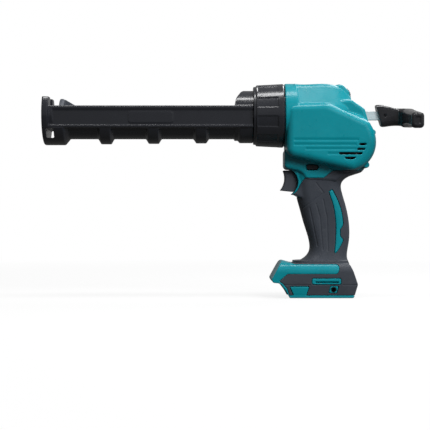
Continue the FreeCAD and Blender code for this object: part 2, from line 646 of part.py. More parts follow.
def handle_station(x, y, z, heading, half_width, half_height, rake):
    r = 0.62 * half_width
    turn = math.radians(heading)

    def place(u, v):
        return Vector(x - rake * v + u * math.sin(turn), y + u * math.cos(turn), z + v)

    return rounded_wire([(-half_width, -half_height, r), (half_width, -half_height, r),
                         (half_width, half_height, r), (-half_width, half_height, r)], place)


leg_x = HANDLE_BEND + HANDLE_BEND_RADIUS
mid_width = (HANDLE_HALF_WIDTH + HANDLE_END_HALF_WIDTH) / 2.0
mid_height = (HANDLE_HALF_HEIGHT + HANDLE_END_HALF_HEIGHT) / 2.0
stations = []
for x, z, rake in ((HANDLE_FRONT + 3.0, 0.3, HANDLE_RAKE), (HANDLE_BEND - 9.0, -0.3, 0.0)):
    stations.append(handle_station(x, 0.0, z, 0.0, HANDLE_HALF_WIDTH, HANDLE_HALF_HEIGHT, rake))
for heading in (0.0, 45.0, 90.0):
    turn = math.radians(heading)
    stations.append(handle_station(HANDLE_BEND + HANDLE_BEND_RADIUS * math.sin(turn),
                                   bend_y + HANDLE_BEND_RADIUS * math.cos(turn),
                                   -0.9 - 2.6 * heading / 90.0, heading, mid_width, mid_height, 0.0))
leg_mid = (HANDLE_END + bend_y) / 2.0
stations.append(handle_station(leg_x, leg_mid, -2.0 - HANDLE_DROOP / 2.0, 90.0, mid_width,
                               HANDLE_END_HALF_HEIGHT, 0.0))
stations.append(handle_station(leg_x, HANDLE_END + 3.0, -1.0 - HANDLE_DROOP, 90.0, HANDLE_END_HALF_WIDTH,
                               HANDLE_END_HALF_HEIGHT, 0.0))
stations.append(handle_station(leg_x, HANDLE_END, -1.0 - HANDLE_DROOP, 90.0, HANDLE_END_HALF_WIDTH - 2.2,
                               HANDLE_END_HALF_HEIGHT - 2.4, 0.0))
handle = Part.makeLoft(stations[:5], True, False)
handle = handle.fuse([Part.makeLoft(stations[4:7], True, True), Part.makeLoft(stations[6:], True, True)])
handle = handle.cut([block(HANDLE_FRONT - 5.0, ROD_REAR, -ROD_WIDTH / 2.0, ROD_WIDTH / 2.0, -rod_half,
                           rod_half), pin_hole])
parts["rod_handle"] = handle
parts["handle_pin"] = rod_y(HANDLE_PIN_X, 0.0, HANDLE_PIN, -HANDLE_HALF_WIDTH + 0.4,
                            HANDLE_HALF_WIDTH - 0.4)

# Housing: one outer form, one hollow, split on the middle plane


def upper_station(x, top, top_half, shoulder, side_half, depth):
    points = [(-top_half, top, 9.0), (-side_half, shoulder, 10.0), (-side_half, -30.0, 3.0),
              (side_half, -30.0, 3.0), (side_half, shoulder, 10.0), (top_half, top, 9.0)]
    return rounded_wire(inset(points, depth) if depth else points, across(x))


def grip_station(z, front, rear, half, depth):
    r = 0.86 * half
    points = [(front, -half, r), (rear, -half, r), (rear, half, r), (front, half, r)]
    return rounded_wire(inset(points, depth) if depth else points, level(z))


def grip_form(depth):
    return Part.makeLoft([grip_station(*station, depth) for station in GRIP], True, False)


def foot_form(depth):
    wide = prism(inset(FOOT, depth) if depth else FOOT, -60.0, 60.0)
    return wide.common(bar(inset(FOOT_PROFILE, depth) if depth else FOOT_PROFILE, -40.0, 110.0))


def body_form(depth):
    barrel = rod_x(BARREL_RADIUS - depth, depth, BARREL_LENGTH - depth)
    rims = [e for e in barrel.Edges if e.BoundBox.XMax < 1e-6]
    if rims:
        barrel = barrel.makeFillet(1.5, rims)
    upper = Part.makeLoft([upper_station(*station, depth) for station in UPPER], True, False)
    drum = rod_y(MOTOR_X, MOTOR_Z, DRUM_RADIUS - depth, -DRUM_HALF + depth, DRUM_HALF - depth)
    drum = drum.makeFillet(7.0 - depth, cap_edges(drum, DRUM_HALF - depth))
    shapes = [barrel, upper, drum, soft_prism(BULGE, BULGE_HALF, BULGE_EDGE, depth),
              soft_prism(NECK, NECK_HALF, 4.0, depth), soft_prism(REAR, REAR_HALF, 3.6, depth),
              soft_prism(HUMP, HUMP_HALF, 3.6, depth)]
    return shapes


rim = prism(RIM, -RIM_HALF, RIM_HALF)
boss_bumps = [rod_y(x, z, BOSS_RADIUS - 0.4, -seat - 5.0, seat + 5.0) for x, z, seat in SCREWS[2:4]]
grip = grip_form(0.0)
foot = foot_form(0.0)
outer = fused(body_form(0.0) + [rim, grip, foot] + boss_bumps)

# The soft cover is the outer skin of the lower form, inside drawn edges; windows leave the shell bare
core = fused(body_form(COVER_SKIN) + [grip_form(COVER_SKIN), foot_form(COVER_SKIN),
                                      prism(RIM, -RIM_HALF + 2.0, RIM_HALF - 2.0)])
windows = [INLAY, SLOT_WINDOW, BADGE_WINDOW, HOOK_WINDOW]


def cover_region(gap, window_gap):
    region = prism(inset(COVER_EDGE, gap), -60.0, 60.0).fuse(prism(inset(STRIP, gap), -60.0, 60.0))
    nose = block(-40.0, 12.0, -BAY_HALF - 2.0, BAY_HALF + 2.0, FOOT_BOTTOM - 5.0, FOOT_SHOULDER)
    return region.cut([prism(inset(w, -window_gap), -61.0, 61.0) for w in windows] + [nose])


skin = outer.cut(core)
cover = skin.common(cover_region(COVER_SEAM, WINDOW_SEAM))
shell = outer.cut(skin.common(cover_region(0.0, 0.0)))

# A flat skirt at the foot of the grip's cover, set into the rubber on the battery foot's top
skirt_base = (COVER_BOTTOM + COVER_SEAM + FOOT_TOP) / 2.0
skirt_plan = [(SKIRT_FRONT, -SKIRT_HALF, SKIRT_CORNER), (SKIRT_REAR, -SKIRT_HALF, SKIRT_CORNER),
              (SKIRT_REAR, SKIRT_HALF, SKIRT_CORNER), (SKIRT_FRONT, SKIRT_HALF, SKIRT_CORNER)]
skirt = Part.Face(rounded_wire(skirt_plan, level(skirt_base))).extrude(Vector(0, 0, SKIRT_TOP - skirt_base))
cover = cover.fuse(skirt.cut(core)).removeSplitter()

hollow = fused(body_form(WALL) + [grip_form(COVER_SKIN + GRIP_WALL)])
foot_room = prism(FOOT_HOLLOW, -FOOT_HOLLOW_HALF, FOOT_HOLLOW_HALF)
wire_way = block(34.0, 62.0, -11.0, 11.0, FOOT_SHOULDER, -160.0)
hollow = hollow.fuse([foot_room, wire_way])
bosses = [rod_y(x, z, BOSS_RADIUS, -40.0, 40.0) for x, z, seat in SCREWS]
switch_ribs = block(36.0, 38.5, -30.0, 30.0, SWITCH_BOTTOM + 2.0, SWITCH_TOP - 2.0)
switch_ribs = switch_ribs.cut(block(30.0, 45.0, -SWITCH_HALF, SWITCH_HALF, SWITCH_BOTTOM, SWITCH_TOP))
seat_x = WALL + RUN_GAP + CASE_FLANGE + RUN_GAP
seat_rib = rod_x(BARREL_RADIUS, seat_x, seat_x + 2.0).cut(rod_x(SPIGOT_RADIUS - 1.0, seat_x, seat_x + 2.0))
seat_rib = seat_rib.common(block(0.0, 40.0, -50.0, 50.0, 13.0, 50.0))
bush_y = ROD_WIDTH / 2.0 + REAR_BUSH_WALL
bush_z = rod_half + REAR_BUSH_WALL
bush_end = REAR_BUSH_FRONT + REAR_BUSH_LENGTH
bush_seat = block(REAR_BUSH_FRONT - 10.0, bush_end, -bush_y, bush_y, -bush_z, bush_z)
exit_y = ROD_WIDTH / 2.0 + 2.0 * RUN_GAP
exit_z = rod_half + 2.0 * RUN_GAP
rod_exit = block(REAR_BUSH_FRONT, 120.0, -exit_y, exit_y, -exit_z, exit_z)
bush_wall = block(REAR_BUSH_FRONT, bush_end, -bush_y - WALL, bush_y + WALL, -bush_z - WALL, 40.0)
hollow = hollow.cut(bosses + [switch_ribs, seat_rib, bush_wall])

# Openings in the shell
bay = block(-40.0, BAY_REAR, -BAY_HALF, BAY_HALF, FOOT_BOTTOM + BAY_LIP, BAY_CEILING)
bay = bay.fuse(block(-40.0, BAY_REAR, -BAY_MOUTH_HALF, BAY_MOUTH_HALF, FOOT_BOTTOM - 5.0,
                     FOOT_BOTTOM + BAY_LIP))
recess = rod_y(TRIGGER_ARC_X, TRIGGER_ARC_Z, TRIGGER_ARC, -60.0, 60.0)
recess = recess.common(block(-30.0, 60.0, -60.0, 60.0, -120.0, TRIGGER_TOP + 1.2))
slot_half = TRIGGER_HALF + RUN_GAP
slot = rod_y(TRIGGER_ARC_X + TRIGGER_TRAVEL + RUN_GAP, TRIGGER_ARC_Z, TRIGGER_ARC, -slot_half, slot_half)
slot = slot.common(block(-30.0, 60.0, -60.0, 60.0, -120.0, TRIGGER_TOP + RUN_GAP))


def pill(grow, y0, y1):
    half_x = BUTTON_LENGTH / 2.0 + grow
    half_z = BUTTON_HEIGHT / 2.0 + grow
    r = half_z * 0.98
    return prism([(BUTTON_X - half_x, BUTTON_Z - half_z, r), (BUTTON_X + half_x, BUTTON_Z - half_z, r),
                  (BUTTON_X + half_x, BUTTON_Z + half_z, r), (BUTTON_X - half_x, BUTTON_Z + half_z, r)], y0,
                 y1)


dish_y = NECK_HALF - BUTTON_DISH
dial_slot = rod_y(DIAL_X, DIAL_Z, DIAL_RADIUS + RUN_GAP, -DIAL_HALF - RUN_GAP, DIAL_HALF + RUN_GAP)
openings = [bay, recess, slot, pill(RUN_GAP, -60.0, 60.0), pill(1.1, -60.0, -dish_y),
            pill(1.1, dish_y, 60.0), dial_slot, rod_x(SPIGOT_RADIUS + RUN_GAP, -5.0, WALL + 1.0), bush_seat,
            rod_exit]
for vent in VENTS:
    openings += [prism(vent, -BULGE_HALF - 5.0, -BULGE_HALF + BULGE_EDGE),
                 prism(vent, BULGE_HALF - BULGE_EDGE, BULGE_HALF + 5.0)]
for x0, x1, z in LOUVRES:
    for s in (-1.0, 1.0):
        face = s * BULGE_HALF
        openings.append(bar([(face + s, z), (face - s * LOUVRE_DEPTH, z), (face, z + LOUVRE_RISE),
                             (face + s, z + LOUVRE_RISE)], x0, x1))
hook_slot = [(33.1, HOOK_SLOT_Z - 0.9), (59.6, HOOK_SLOT_Z - 0.9), (59.6, HOOK_SLOT_Z + 0.9),
             (33.1, HOOK_SLOT_Z + 0.9)]
for s in (-1.0, 1.0):
    openings.append(prism(hook_slot, s * (FOOT_HALF - 3.0), s * (FOOT_HALF + 3.0)))
    openings.append(rod_y(HOOK_X, HOOK_Z, HOOK_INSERT, min(s * BAY_HALF, s * 60.0),
                          max(s * BAY_HALF, s * 60.0)))
holes = []
for x, z, seat in SCREWS:
    holes.append(rod_y(x, z, SCREW_RADIUS, -SCREW_REACH, seat))
    holes.append(rod_y(x, z, SCREW_HEAD + RUN_GAP, seat, 60.0))
shell = shell.cut(hollow).cut(openings + holes)
left_half = block(-60.0, 140.0, -80.0, 0.0, -240.0, 60.0)
right_half = block(-60.0, 140.0, 0.0, 80.0, -240.0, 60.0)


def largest(shape):
    return max(shape.Solids, key=lambda one: one.Volume)


parts["housing_left"] = largest(shell.common(left_half))
parts["housing_right"] = largest(shell.common(right_half))
cover = cover.cut(openings + holes)
parts["grip_cover_left"] = cover.common(left_half)
parts["grip_cover_right"] = cover.common(right_half)
screws = []
for x, z, seat in SCREWS:
    one = rod_y(x, z, SCREW_RADIUS, -SCREW_REACH, seat).fuse(rod_y(x, z, SCREW_HEAD, seat, seat + 2.2))
    screws.append(one.cut(rod_y(x, z, 1.2, seat + 0.8, seat + 3.0)))
parts["housing_screws"] = Part.makeCompound(screws)
insert = ring_y(HOOK_X, HOOK_Z, HOOK_INSERT, HOOK_THREAD, -FOOT_HALF + 0.8, -BAY_HALF - 0.4)
parts["hook_inserts"] = Part.makeCompound([insert, mirrored(insert)])

# Gear case: spigot and flange behind the shell's front wall, two bearing plates
flange_x = WALL + RUN_GAP
case_rear = flange_x + CASE_FLANGE
case = rod_x(SPIGOT_RADIUS, -SPIGOT_LENGTH, case_rear)
case = case.fuse(rod_x(BARREL_RADIUS - WALL - RUN_GAP, flange_x, case_rear))
case = case.cut(rod_x(SPIGOT_RADIUS - 4.0, -SPIGOT_LENGTH - 1.0,
                      -2.0).cut(rod_x(FRONT_BUSH + 3.0, -SPIGOT_LENGTH - 1.0, 0.0)))
main_plate = prism(PLATE_OUTLINE, MAIN_PLATE_Y, MAIN_PLATE_Y + PLATE)
left_plate = prism(LEFT_OUTLINE, LEFT_PLATE_Y, LEFT_PLATE_Y + PLATE)
case = case.fuse([main_plate, left_plate])
seats = [rod_x(FRONT_BUSH, -SPIGOT_LENGTH - 1.0, case_rear + 1.0),
         rod_y(PINION_X, pinion_z, OUTPUT_BEARING, -40.0, 40.0),
         rod_y(idler_x, idler_z, IDLER_BEARING, -40.0, 40.0),
         rod_y(MOTOR_X, MOTOR_Z, MOTOR_BEARING, -40.0, 40.0)]
main_end = MAIN_PLATE_Y + PLATE
post_holes = [rod_y(x, z, SCREW_RADIUS, main_end - 3.0, COVER_Y + COVER_PLATE) for x, z in POSTS]
parts["gear_case"] = case.cut(seats + post_holes).removeSplitter()
cover_end = COVER_Y + COVER_PLATE
case_cover = prism(PLATE_OUTLINE, COVER_Y, cover_end).common(block(case_rear + RUN_GAP, 140.0, 0.0, 60.0,
                                                                   -90.0, 40.0))
case_cover = case_cover.fuse([rod_y(x, z, POST_RADIUS, main_end, COVER_Y + 0.5) for x, z in POSTS])
parts["gear_case_cover"] = case_cover.cut(seats[1:3] + post_holes).removeSplitter()
case_screws = []
for x, z in POSTS:
    one = rod_y(x, z, SCREW_RADIUS, main_end - 3.0,
                cover_end).fuse(rod_y(x, z, SCREW_HEAD - 0.2, cover_end, cover_end + 1.8))
    case_screws.append(one.cut(rod_y(x, z, 1.0, cover_end + 0.6, cover_end + 2.0)))
parts["case_screws"] = Part.makeCompound(case_screws)

# Rod bushes
rod_pass = block(-40.0, 120.0, -ROD_WIDTH / 2.0 - ROD_GAP, ROD_WIDTH / 2.0 + ROD_GAP, -rod_half - ROD_GAP,
                 rod_half + ROD_GAP)
bush = rod_x(FRONT_BUSH, -SPIGOT_LENGTH, case_rear)
parts["rod_bush_front"] = bush.cut(rod_pass)
rear_bush = block(REAR_BUSH_FRONT, bush_end, -bush_y, bush_y, -bush_z, bush_z)
flange_y = bush_y + REAR_BUSH_FLANGE
flange_z = bush_z + REAR_BUSH_FLANGE
rear_bush = rear_bush.fuse(block(REAR_BUSH_FRONT - 2.0, REAR_BUSH_FRONT, -flange_y, flange_y, -flange_z,
                                 flange_z))
parts["rod_bush_rear"] = rear_bush.cut(rod_pass)

# Output shaft with the rack pinion and the large gear
shaft_end = cover_end - 0.5
parts["output_shaft"] = rod_y(PINION_X, pinion_z, OUTPUT_SHAFT, LEFT_PLATE_Y + 0.5, shaft_end)
parts["rack_pinion"] = spur(PINION_TEETH, RACK_MODULE, OUTPUT_SHAFT, PINION_X, pinion_z,
                            -PINION_WIDTH / 2.0, PINION_WIDTH / 2.0, pinion_phase)
output_end = OUTPUT_GEAR_Y + OUTPUT_GEAR_WIDTH
parts["output_gear"] = spur(OUTPUT_TEETH, OUTPUT_MODULE, OUTPUT_SHAFT, PINION_X, pinion_z, OUTPUT_GEAR_Y,
                            output_end, output_phase)
parts["output_bearings"] = Part.makeCompound(
    [ring_y(PINION_X, pinion_z, OUTPUT_BEARING, OUTPUT_SHAFT + SHAFT_GAP, y0, y1)
     for y0, y1 in ((LEFT_PLATE_Y, LEFT_PLATE_Y + PLATE), (MAIN_PLATE_Y, main_end), (COVER_Y, cover_end))])

# Idler: pinion cut on its shaft, gear pressed on
idler_shaft = rod_y(idler_x, idler_z, IDLER_SHAFT, MAIN_PLATE_Y + 0.5, shaft_end)
idler_teeth = spur(IDLER_PINION_TEETH, OUTPUT_MODULE, 0.0, idler_x, idler_z, OUTPUT_GEAR_Y - 0.5,
                   output_end + 0.5, idler_pinion_phase)
parts["idler_pinion"] = idler_shaft.fuse(idler_teeth).removeSplitter()
idler_end = IDLER_GEAR_Y + IDLER_GEAR_WIDTH
parts["idler_gear"] = spur(IDLER_TEETH, IDLER_MODULE, IDLER_SHAFT, idler_x, idler_z, IDLER_GEAR_Y,
                           idler_end, idler_phase)
parts["idler_bearings"] = Part.makeCompound(
    [ring_y(idler_x, idler_z, IDLER_BEARING, IDLER_SHAFT + SHAFT_GAP, y0, y1)
     for y0, y1 in ((MAIN_PLATE_Y, main_end), (COVER_Y, cover_end))])

# Motor
can_end = MAIN_PLATE_Y
can_start = can_end - CAN_LENGTH
bell_start = can_start - END_BELL
can_inner = CAN_RADIUS - CAN_WALL
can = ring_y(MOTOR_X, MOTOR_Z, CAN_RADIUS, can_inner, can_start, can_end)
can = can.fuse(ring_y(MOTOR_X, MOTOR_Z, CAN_RADIUS, MOTOR_BEARING + 2.0, can_end - 1.5, can_end))
parts["motor_can"] = can.removeSplitter()
core_end = can_end - 6.0
core_start = core_end - ARMATURE_LENGTH
magnet = ring_y(MOTOR_X, MOTOR_Z, can_inner, can_inner - MAGNET, core_start - 2.0, core_end + 2.0)
gap = block(MOTOR_X - 30.0, MOTOR_X + 30.0, -60.0, 60.0, MOTOR_Z - 4.0, MOTOR_Z + 4.0)
parts["motor_magnets"] = Part.makeCompound(magnet.cut(gap).Solids)
core_radius = can_inner - MAGNET - ARMATURE_GAP
armature = ring_y(MOTOR_X, MOTOR_Z, core_radius, MOTOR_SHAFT, core_start, core_end)
slots = []
for i in range(ARMATURE_SLOTS):
    cut = block(MOTOR_X + 6.0, MOTOR_X + core_radius + 1.0, core_start - 1.0, core_end + 1.0, MOTOR_Z - 0.8,
                MOTOR_Z + 0.8)
    cut.rotate(Vector(MOTOR_X, 0, MOTOR_Z), Y_AXIS, 360.0 * i / ARMATURE_SLOTS)
    slots.append(cut)
parts["armature_core"] = armature.cut(slots)
parts["armature_windings"] = ring_y(MOTOR_X, MOTOR_Z, core_radius - 2.0, MOTOR_SHAFT, core_end,
                                    core_end + 3.0)
comm_start = core_start - COMMUTATOR_LENGTH - 1.0
parts["commutator"] = ring_y(MOTOR_X, MOTOR_Z, COMMUTATOR_RADIUS, MOTOR_SHAFT, comm_start, core_start)
bell = ring_y(MOTOR_X, MOTOR_Z, CAN_RADIUS, MOTOR_BEARING, bell_start, can_start)
brushes = []
for s in (-1.0, 1.0):
    inner_x = MOTOR_X + s * (COMMUTATOR_RADIUS + SHAFT_GAP)
    outer_x = MOTOR_X + s * (can_inner - 2.0)
    hold_x = MOTOR_X + s * (COMMUTATOR_RADIUS + 2.0)
    wall_x = MOTOR_X + s * (can_inner - 1.0)
    mid_y = can_start + BRUSH / 2.0 + 1.6
    tube = block(min(hold_x, wall_x), max(hold_x, wall_x), can_start - 0.5, mid_y + BRUSH / 2.0 + 1.6,
                 MOTOR_Z - BRUSH / 2.0 - 1.6, MOTOR_Z + BRUSH / 2.0 + 1.6)
    brush = block(min(inner_x, outer_x), max(inner_x, outer_x), mid_y - BRUSH / 2.0, mid_y + BRUSH / 2.0,
                  MOTOR_Z - BRUSH / 2.0, MOTOR_Z + BRUSH / 2.0)
    round_face = rod_y(MOTOR_X, MOTOR_Z, COMMUTATOR_RADIUS + SHAFT_GAP, mid_y - BRUSH, mid_y + BRUSH)
    brushes.append(brush.cut(round_face))
    bell = bell.fuse(tube).cut(brush)
parts["motor_end_bell"] = bell.removeSplitter()
parts["motor_brushes"] = Part.makeCompound(brushes)
parts["motor_bearings"] = Part.makeCompound(
    [ring_y(MOTOR_X, MOTOR_Z, MOTOR_BEARING, MOTOR_SHAFT + SHAFT_GAP, y0, y1)
     for y0, y1 in ((MAIN_PLATE_Y, main_end), (bell_start, can_start))])
fan_end = bell_start - 1.0
fan_start = fan_end - FAN_HEIGHT
fan = ring_y(MOTOR_X, MOTOR_Z, FAN_RADIUS, MOTOR_SHAFT, fan_end - 1.2, fan_end)
fan = fan.fuse(ring_y(MOTOR_X, MOTOR_Z, 4.5, MOTOR_SHAFT, fan_start, fan_end))
for i in range(FAN_BLADES):
    blade = block(MOTOR_X + 4.0, MOTOR_X + FAN_RADIUS - 0.4, fan_start, fan_end, MOTOR_Z - 0.6,
                  MOTOR_Z + 0.6)
    blade.rotate(Vector(MOTOR_X, 0, MOTOR_Z), Y_AXIS, 360.0 * i / FAN_BLADES)
    fan = fan.fuse(blade)
parts["motor_fan"] = fan.removeSplitter()
parts["motor_shaft"] = rod_y(MOTOR_X, MOTOR_Z, MOTOR_SHAFT, fan_start, idler_end + 0.5)
parts["motor_pinion"] = spur(MOTOR_TEETH, IDLER_MODULE, MOTOR_SHAFT, MOTOR_X, MOTOR_Z, IDLER_GEAR_Y - 0.5,
                             idler_end + 0.5, motor_phase)

# Trigger with its plunger, switch, lock-off button
trigger = prism([(-6.0, TRIGGER_TOP), (20.0, TRIGGER_TOP), (20.0, TRIGGER_BOTTOM - 1.0),
                 (6.6, TRIGGER_BOTTOM), (-6.0, TRIGGER_BOTTOM + 1.4)], -TRIGGER_HALF, TRIGGER_HALF)
trigger = trigger.common(rod_y(TRIGGER_ARC_X, TRIGGER_ARC_Z, TRIGGER_ARC - RUN_GAP, -30.0, 30.0))
trigger = trigger.cut(rod_y(FINGER_ARC_X, FINGER_ARC_Z, FINGER_ARC, -30.0, 30.0))
finger_edges = [e for e in cap_edges(trigger, TRIGGER_HALF) if e.BoundBox.XMax < 2.0]
trigger = trigger.makeFillet(TRIGGER_EDGE, finger_edges)
trigger_back = TRIGGER_ARC_X + TRIGGER_ARC - RUN_GAP
plunger_front = trigger_back - 4.0
plunger_rear = SWITCH_FRONT + 6.0
plunger = rod_x(PLUNGER, plunger_front, plunger_rear, 0.0, TRIGGER_ARC_Z)
parts["trigger"] = trigger.cut(plunger)
parts["switch_plunger"] = plunger
switch = block(SWITCH_FRONT, SWITCH_REAR, -SWITCH_HALF, SWITCH_HALF, SWITCH_BOTTOM, SWITCH_TOP)
switch = switch.cut(rod_x(PLUNGER + RUN_GAP / 2.0, SWITCH_FRONT - 1.0, plunger_rear + TRIGGER_TRAVEL + 1.0,
                          0.0, TRIGGER_ARC_Z))
parts["switch_body"] = switch
button = pill(0.0, -NECK_HALF + 0.4, NECK_HALF + BUTTON_TRAVEL - 0.6)
button_ends = [e for e in button.Edges if e.BoundBox.YLength < 1e-6]
parts["lock_button"] = button.makeFillet(0.6, button_ends)

# Speed dial and its potentiometer
dial = rod_y(DIAL_X, DIAL_Z, DIAL_RADIUS, -DIAL_HALF, DIAL_HALF)
notches = []
for i in range(DIAL_RIDGES):
    angle = 2.0 * math.pi * i / DIAL_RIDGES
    notches.append(rod_y(DIAL_X + (DIAL_RADIUS + 0.35) * math.cos(angle),
                         DIAL_Z + (DIAL_RADIUS + 0.35) * math.sin(angle), 0.8, -10.0, 10.0))
pot_y = DIAL_HALF + 2.0 * RUN_GAP
pot_end = pot_y + POT_DEPTH
spindle_end = pot_end - 0.8
dial = dial.cut(notches).fuse(rod_y(DIAL_X, DIAL_Z, 2.0, DIAL_HALF - 1.0, spindle_end))
parts["speed_dial"] = dial.removeSplitter()
pot_edge = 3.0
pot = block(DIAL_X + pot_edge - POT_SIZE, DIAL_X + pot_edge, pot_y, pot_end, DIAL_Z + pot_edge - POT_SIZE,
            DIAL_Z + pot_edge)
parts["dial_potentiometer"] = pot.cut(rod_y(DIAL_X, DIAL_Z, 2.0 + SHAFT_GAP, pot_y - 1.0,
                                            spindle_end + 0.3))

# Battery bay contacts and the control board
contact = block(26.0, 70.0, -TERMINAL_HALF, TERMINAL_HALF, BAY_CEILING - TERMINAL_DEPTH, BAY_CEILING)
blades = [block(32.0, 52.0, y - 0.4, y + 0.4, BAY_CEILING - TERMINAL_DEPTH - 5.0, BAY_CEILING - 2.0)
          for y in (-TERMINAL_PITCH, 0.0, TERMINAL_PITCH)]
parts["terminal_block"] = contact.cut(blades)
parts["terminal_blades"] = Part.makeCompound(blades)
board_floor = FOOT_HOLLOW[0][1]
parts["control_board"] = block(18.0, 62.0, -20.0, 20.0, board_floor, board_floor + BOARD)
leads = []
for y in (-5.0, 5.0):
    leads.append(tube_along([Vector(56.0, y, board_floor + BOARD), Vector(56.0, y, -172.0),
                             Vector(43.0, y, -150.0), Vector(36.0, y, -104.0),
                             Vector(36.0, y, SWITCH_BOTTOM)], 8.0, LEAD))
parts["battery_leads"] = Part.makeCompound(leads)
motor_leads = []
for x, y in ((44.0, -5.0), (40.0, -8.0)):
    end_x = x + 22.0
    end_y = bell_start + END_BELL / 2.0
    end_z = MOTOR_Z - math.sqrt(CAN_RADIUS ** 2 - (MOTOR_X - end_x - LEAD) ** 2) - 0.8
    motor_leads.append(tube_along([Vector(x, y, SWITCH_TOP), Vector(x, y, -60.0),
                                   Vector(x + 12.0, -17.0, -55.0), Vector(end_x - 2.5, end_y, -53.0),
                                   Vector(end_x, end_y, end_z)], 2.2, LEAD))
parts["motor_leads"] = Part.makeCompound(motor_leads)

os.makedirs("parts", exist_ok=True)
for name, shape in parts.items():
    shape.exportStep("parts/" + name + ".step")
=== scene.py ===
import json
import math

import bmesh
import bpy
import numpy as np
from bpy.props import FloatProperty, FloatVectorProperty, IntProperty, PointerProperty
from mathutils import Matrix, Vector


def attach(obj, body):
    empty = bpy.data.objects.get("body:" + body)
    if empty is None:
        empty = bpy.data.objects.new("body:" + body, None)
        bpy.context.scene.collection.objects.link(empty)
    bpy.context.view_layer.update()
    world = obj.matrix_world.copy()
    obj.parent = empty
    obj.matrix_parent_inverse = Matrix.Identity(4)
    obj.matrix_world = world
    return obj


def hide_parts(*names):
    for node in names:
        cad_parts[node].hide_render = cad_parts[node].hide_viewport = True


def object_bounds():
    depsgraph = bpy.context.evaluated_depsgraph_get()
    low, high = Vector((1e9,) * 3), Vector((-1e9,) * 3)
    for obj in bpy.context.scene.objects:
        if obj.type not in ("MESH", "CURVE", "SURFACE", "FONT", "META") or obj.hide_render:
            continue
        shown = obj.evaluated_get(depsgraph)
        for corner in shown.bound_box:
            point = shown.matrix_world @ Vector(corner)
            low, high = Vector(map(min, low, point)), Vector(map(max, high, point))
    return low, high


bl_info = {
    "name": "Cordless Caulking Tool",
    "version": (1, 0, 0),
    "blender": (4, 5, 0),
    "location": "View3D > Sidebar > Caulking Tool",
    "description": "Moulded, rubber and metal finishes for a pistol-grip caulking tool, with a plain studio",
    "category": "Object",
}

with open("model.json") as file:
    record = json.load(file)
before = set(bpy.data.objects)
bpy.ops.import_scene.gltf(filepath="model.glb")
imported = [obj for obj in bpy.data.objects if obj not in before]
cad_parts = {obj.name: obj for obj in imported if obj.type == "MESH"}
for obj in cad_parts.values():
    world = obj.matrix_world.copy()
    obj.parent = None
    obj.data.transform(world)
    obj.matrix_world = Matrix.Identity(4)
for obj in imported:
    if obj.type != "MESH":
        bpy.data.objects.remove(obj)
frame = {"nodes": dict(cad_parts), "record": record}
NODES = frame["nodes"]
CAD_BOX = [list(corner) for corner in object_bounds()]
BODY_OF = {
    node: body
    for body, nodes in frame["record"]["behaviour"]["bodies"].items()
    for node in nodes
}
SLOT_OF = {row["node"]: row["material_slot"] for row in frame["record"]["subparts"]}
MM = 0.001

# Corners of the CAD meshes closer than this, in metres, are one corner
WELD_DISTANCE = 2e-6
# Keeps divisors above zero
TINY = 1e-9
# Largest triangle count of a piece that has no setting for it
MOST_TRIANGLES = 190000
# Share of the way to its neighbours' middle that a smoothing pass moves a vertex
EASING = 0.5
# Turns the bend between neighbouring vertices into the 0 to 1 edge value
EDGE_GAIN = 5.0
# Angle in radians below which neighbouring faces of the rod count as one flat face
FLAT_ANGLE = 0.01

# Lines drawn on the side of the grip and the foot: X and Z in millimetres
FINGER_PANEL_EDGE = [(20.0, -106.6), (44.2, -88.5), (35.4, -77.4)]
GRIP_FLUTES = [
    [(28.2, -105.5), (32.6, -126.0), (37.2, -149.1)],
    [(35.6, -101.0), (40.0, -116.1), (43.2, -153.6)],
    [(43.6, -96.0), (47.9, -116.1), (49.3, -154.8)],
]
FOOT_LINE = [(-4.0, -192.4), (27.5, -192.4)]
FOOT_LINE_REAR = [(64.5, -192.4), (80.0, -192.4)]
# How strongly a face has to point sideways before a line sinks into it
OUTWARD_GAIN = 2.0
OUTWARD_LEVEL = 0.4

# Corners of the box around the finger rest: X, Y and Z in millimetres
FINGER_REST_LOW = (11.0, -25.0, -97.0)
FINGER_REST_HIGH = (27.0, 25.0, -80.0)

# Socket in the pull handle's end: band, reach and depth in millimetres, the others as shares
SOCKET_BAND = 0.4
SOCKET_REACH = 1.2
SOCKET_DEPTH = 1.1
SOCKET_SHARE = 0.62
SOCKET_RIM = 0.25
SOCKET_FLANK_X = 0.5
SOCKET_FLANK_Z = 0.62

# Screws: side counts, and shares of the recess radius and of the head radius
HEAD_SIDES = 40
SHANK_SIDES = 24
RECESS_POINTS = 6
RECESS_INNER_SHARE = 0.72
HEAD_HEIGHT_SHARE = 0.74

# Range that most values of a noise texture lie in
NOISE_SPAN = (0.3, 0.7)
COAT_ROUGHNESS = 0.08

# Studio: places and sizes in metres
LIGHT_AIM = Vector((-0.06, 0.0, -0.06))
KEY_PLACE = (-0.02, -0.16, 0.98)
KEY_SIZE = (1.2, 0.18)
FILL_PLACE = (0.85, -1.2, 0.75)
FILL_SIZE = (1.2, 0.9)
RIM_PLACE = (0.45, 0.6, 0.7)
RIM_SIZE = (0.5, 0.5)
FLOOR_HALF = 6.0
FLOOR_GAP = 0.0004
SENSOR_WIDTH = 36.0
FAR_CLIP = 20.0
WHITE = (1.0, 1.0, 1.0, 1.0)
# Shares of the white surround and of the white floor that shiny surfaces mirror
WORLD_MIRRORED = 0.22
FLOOR_MIRRORED = 0.06
# Share of the floor's colour that lights the tool from below
FLOOR_BOUNCE = 0.07
# The floor turns from lightly shaded to pure white between these distances
FLOOR_FADE = (0.4, 1.3)
FLOOR_WHITENESS = (0.86, 1.0)


def colour_property(name, text, value):
    return FloatVectorProperty(
        name=name, description=text, default=value, size=3, min=0.0, max=1.0, subtype="COLOR")


def length_property(name, text, millimetres):
    return FloatProperty(
        name=name, description=text, default=millimetres * MM, min=0.0, unit="LENGTH", precision=5)


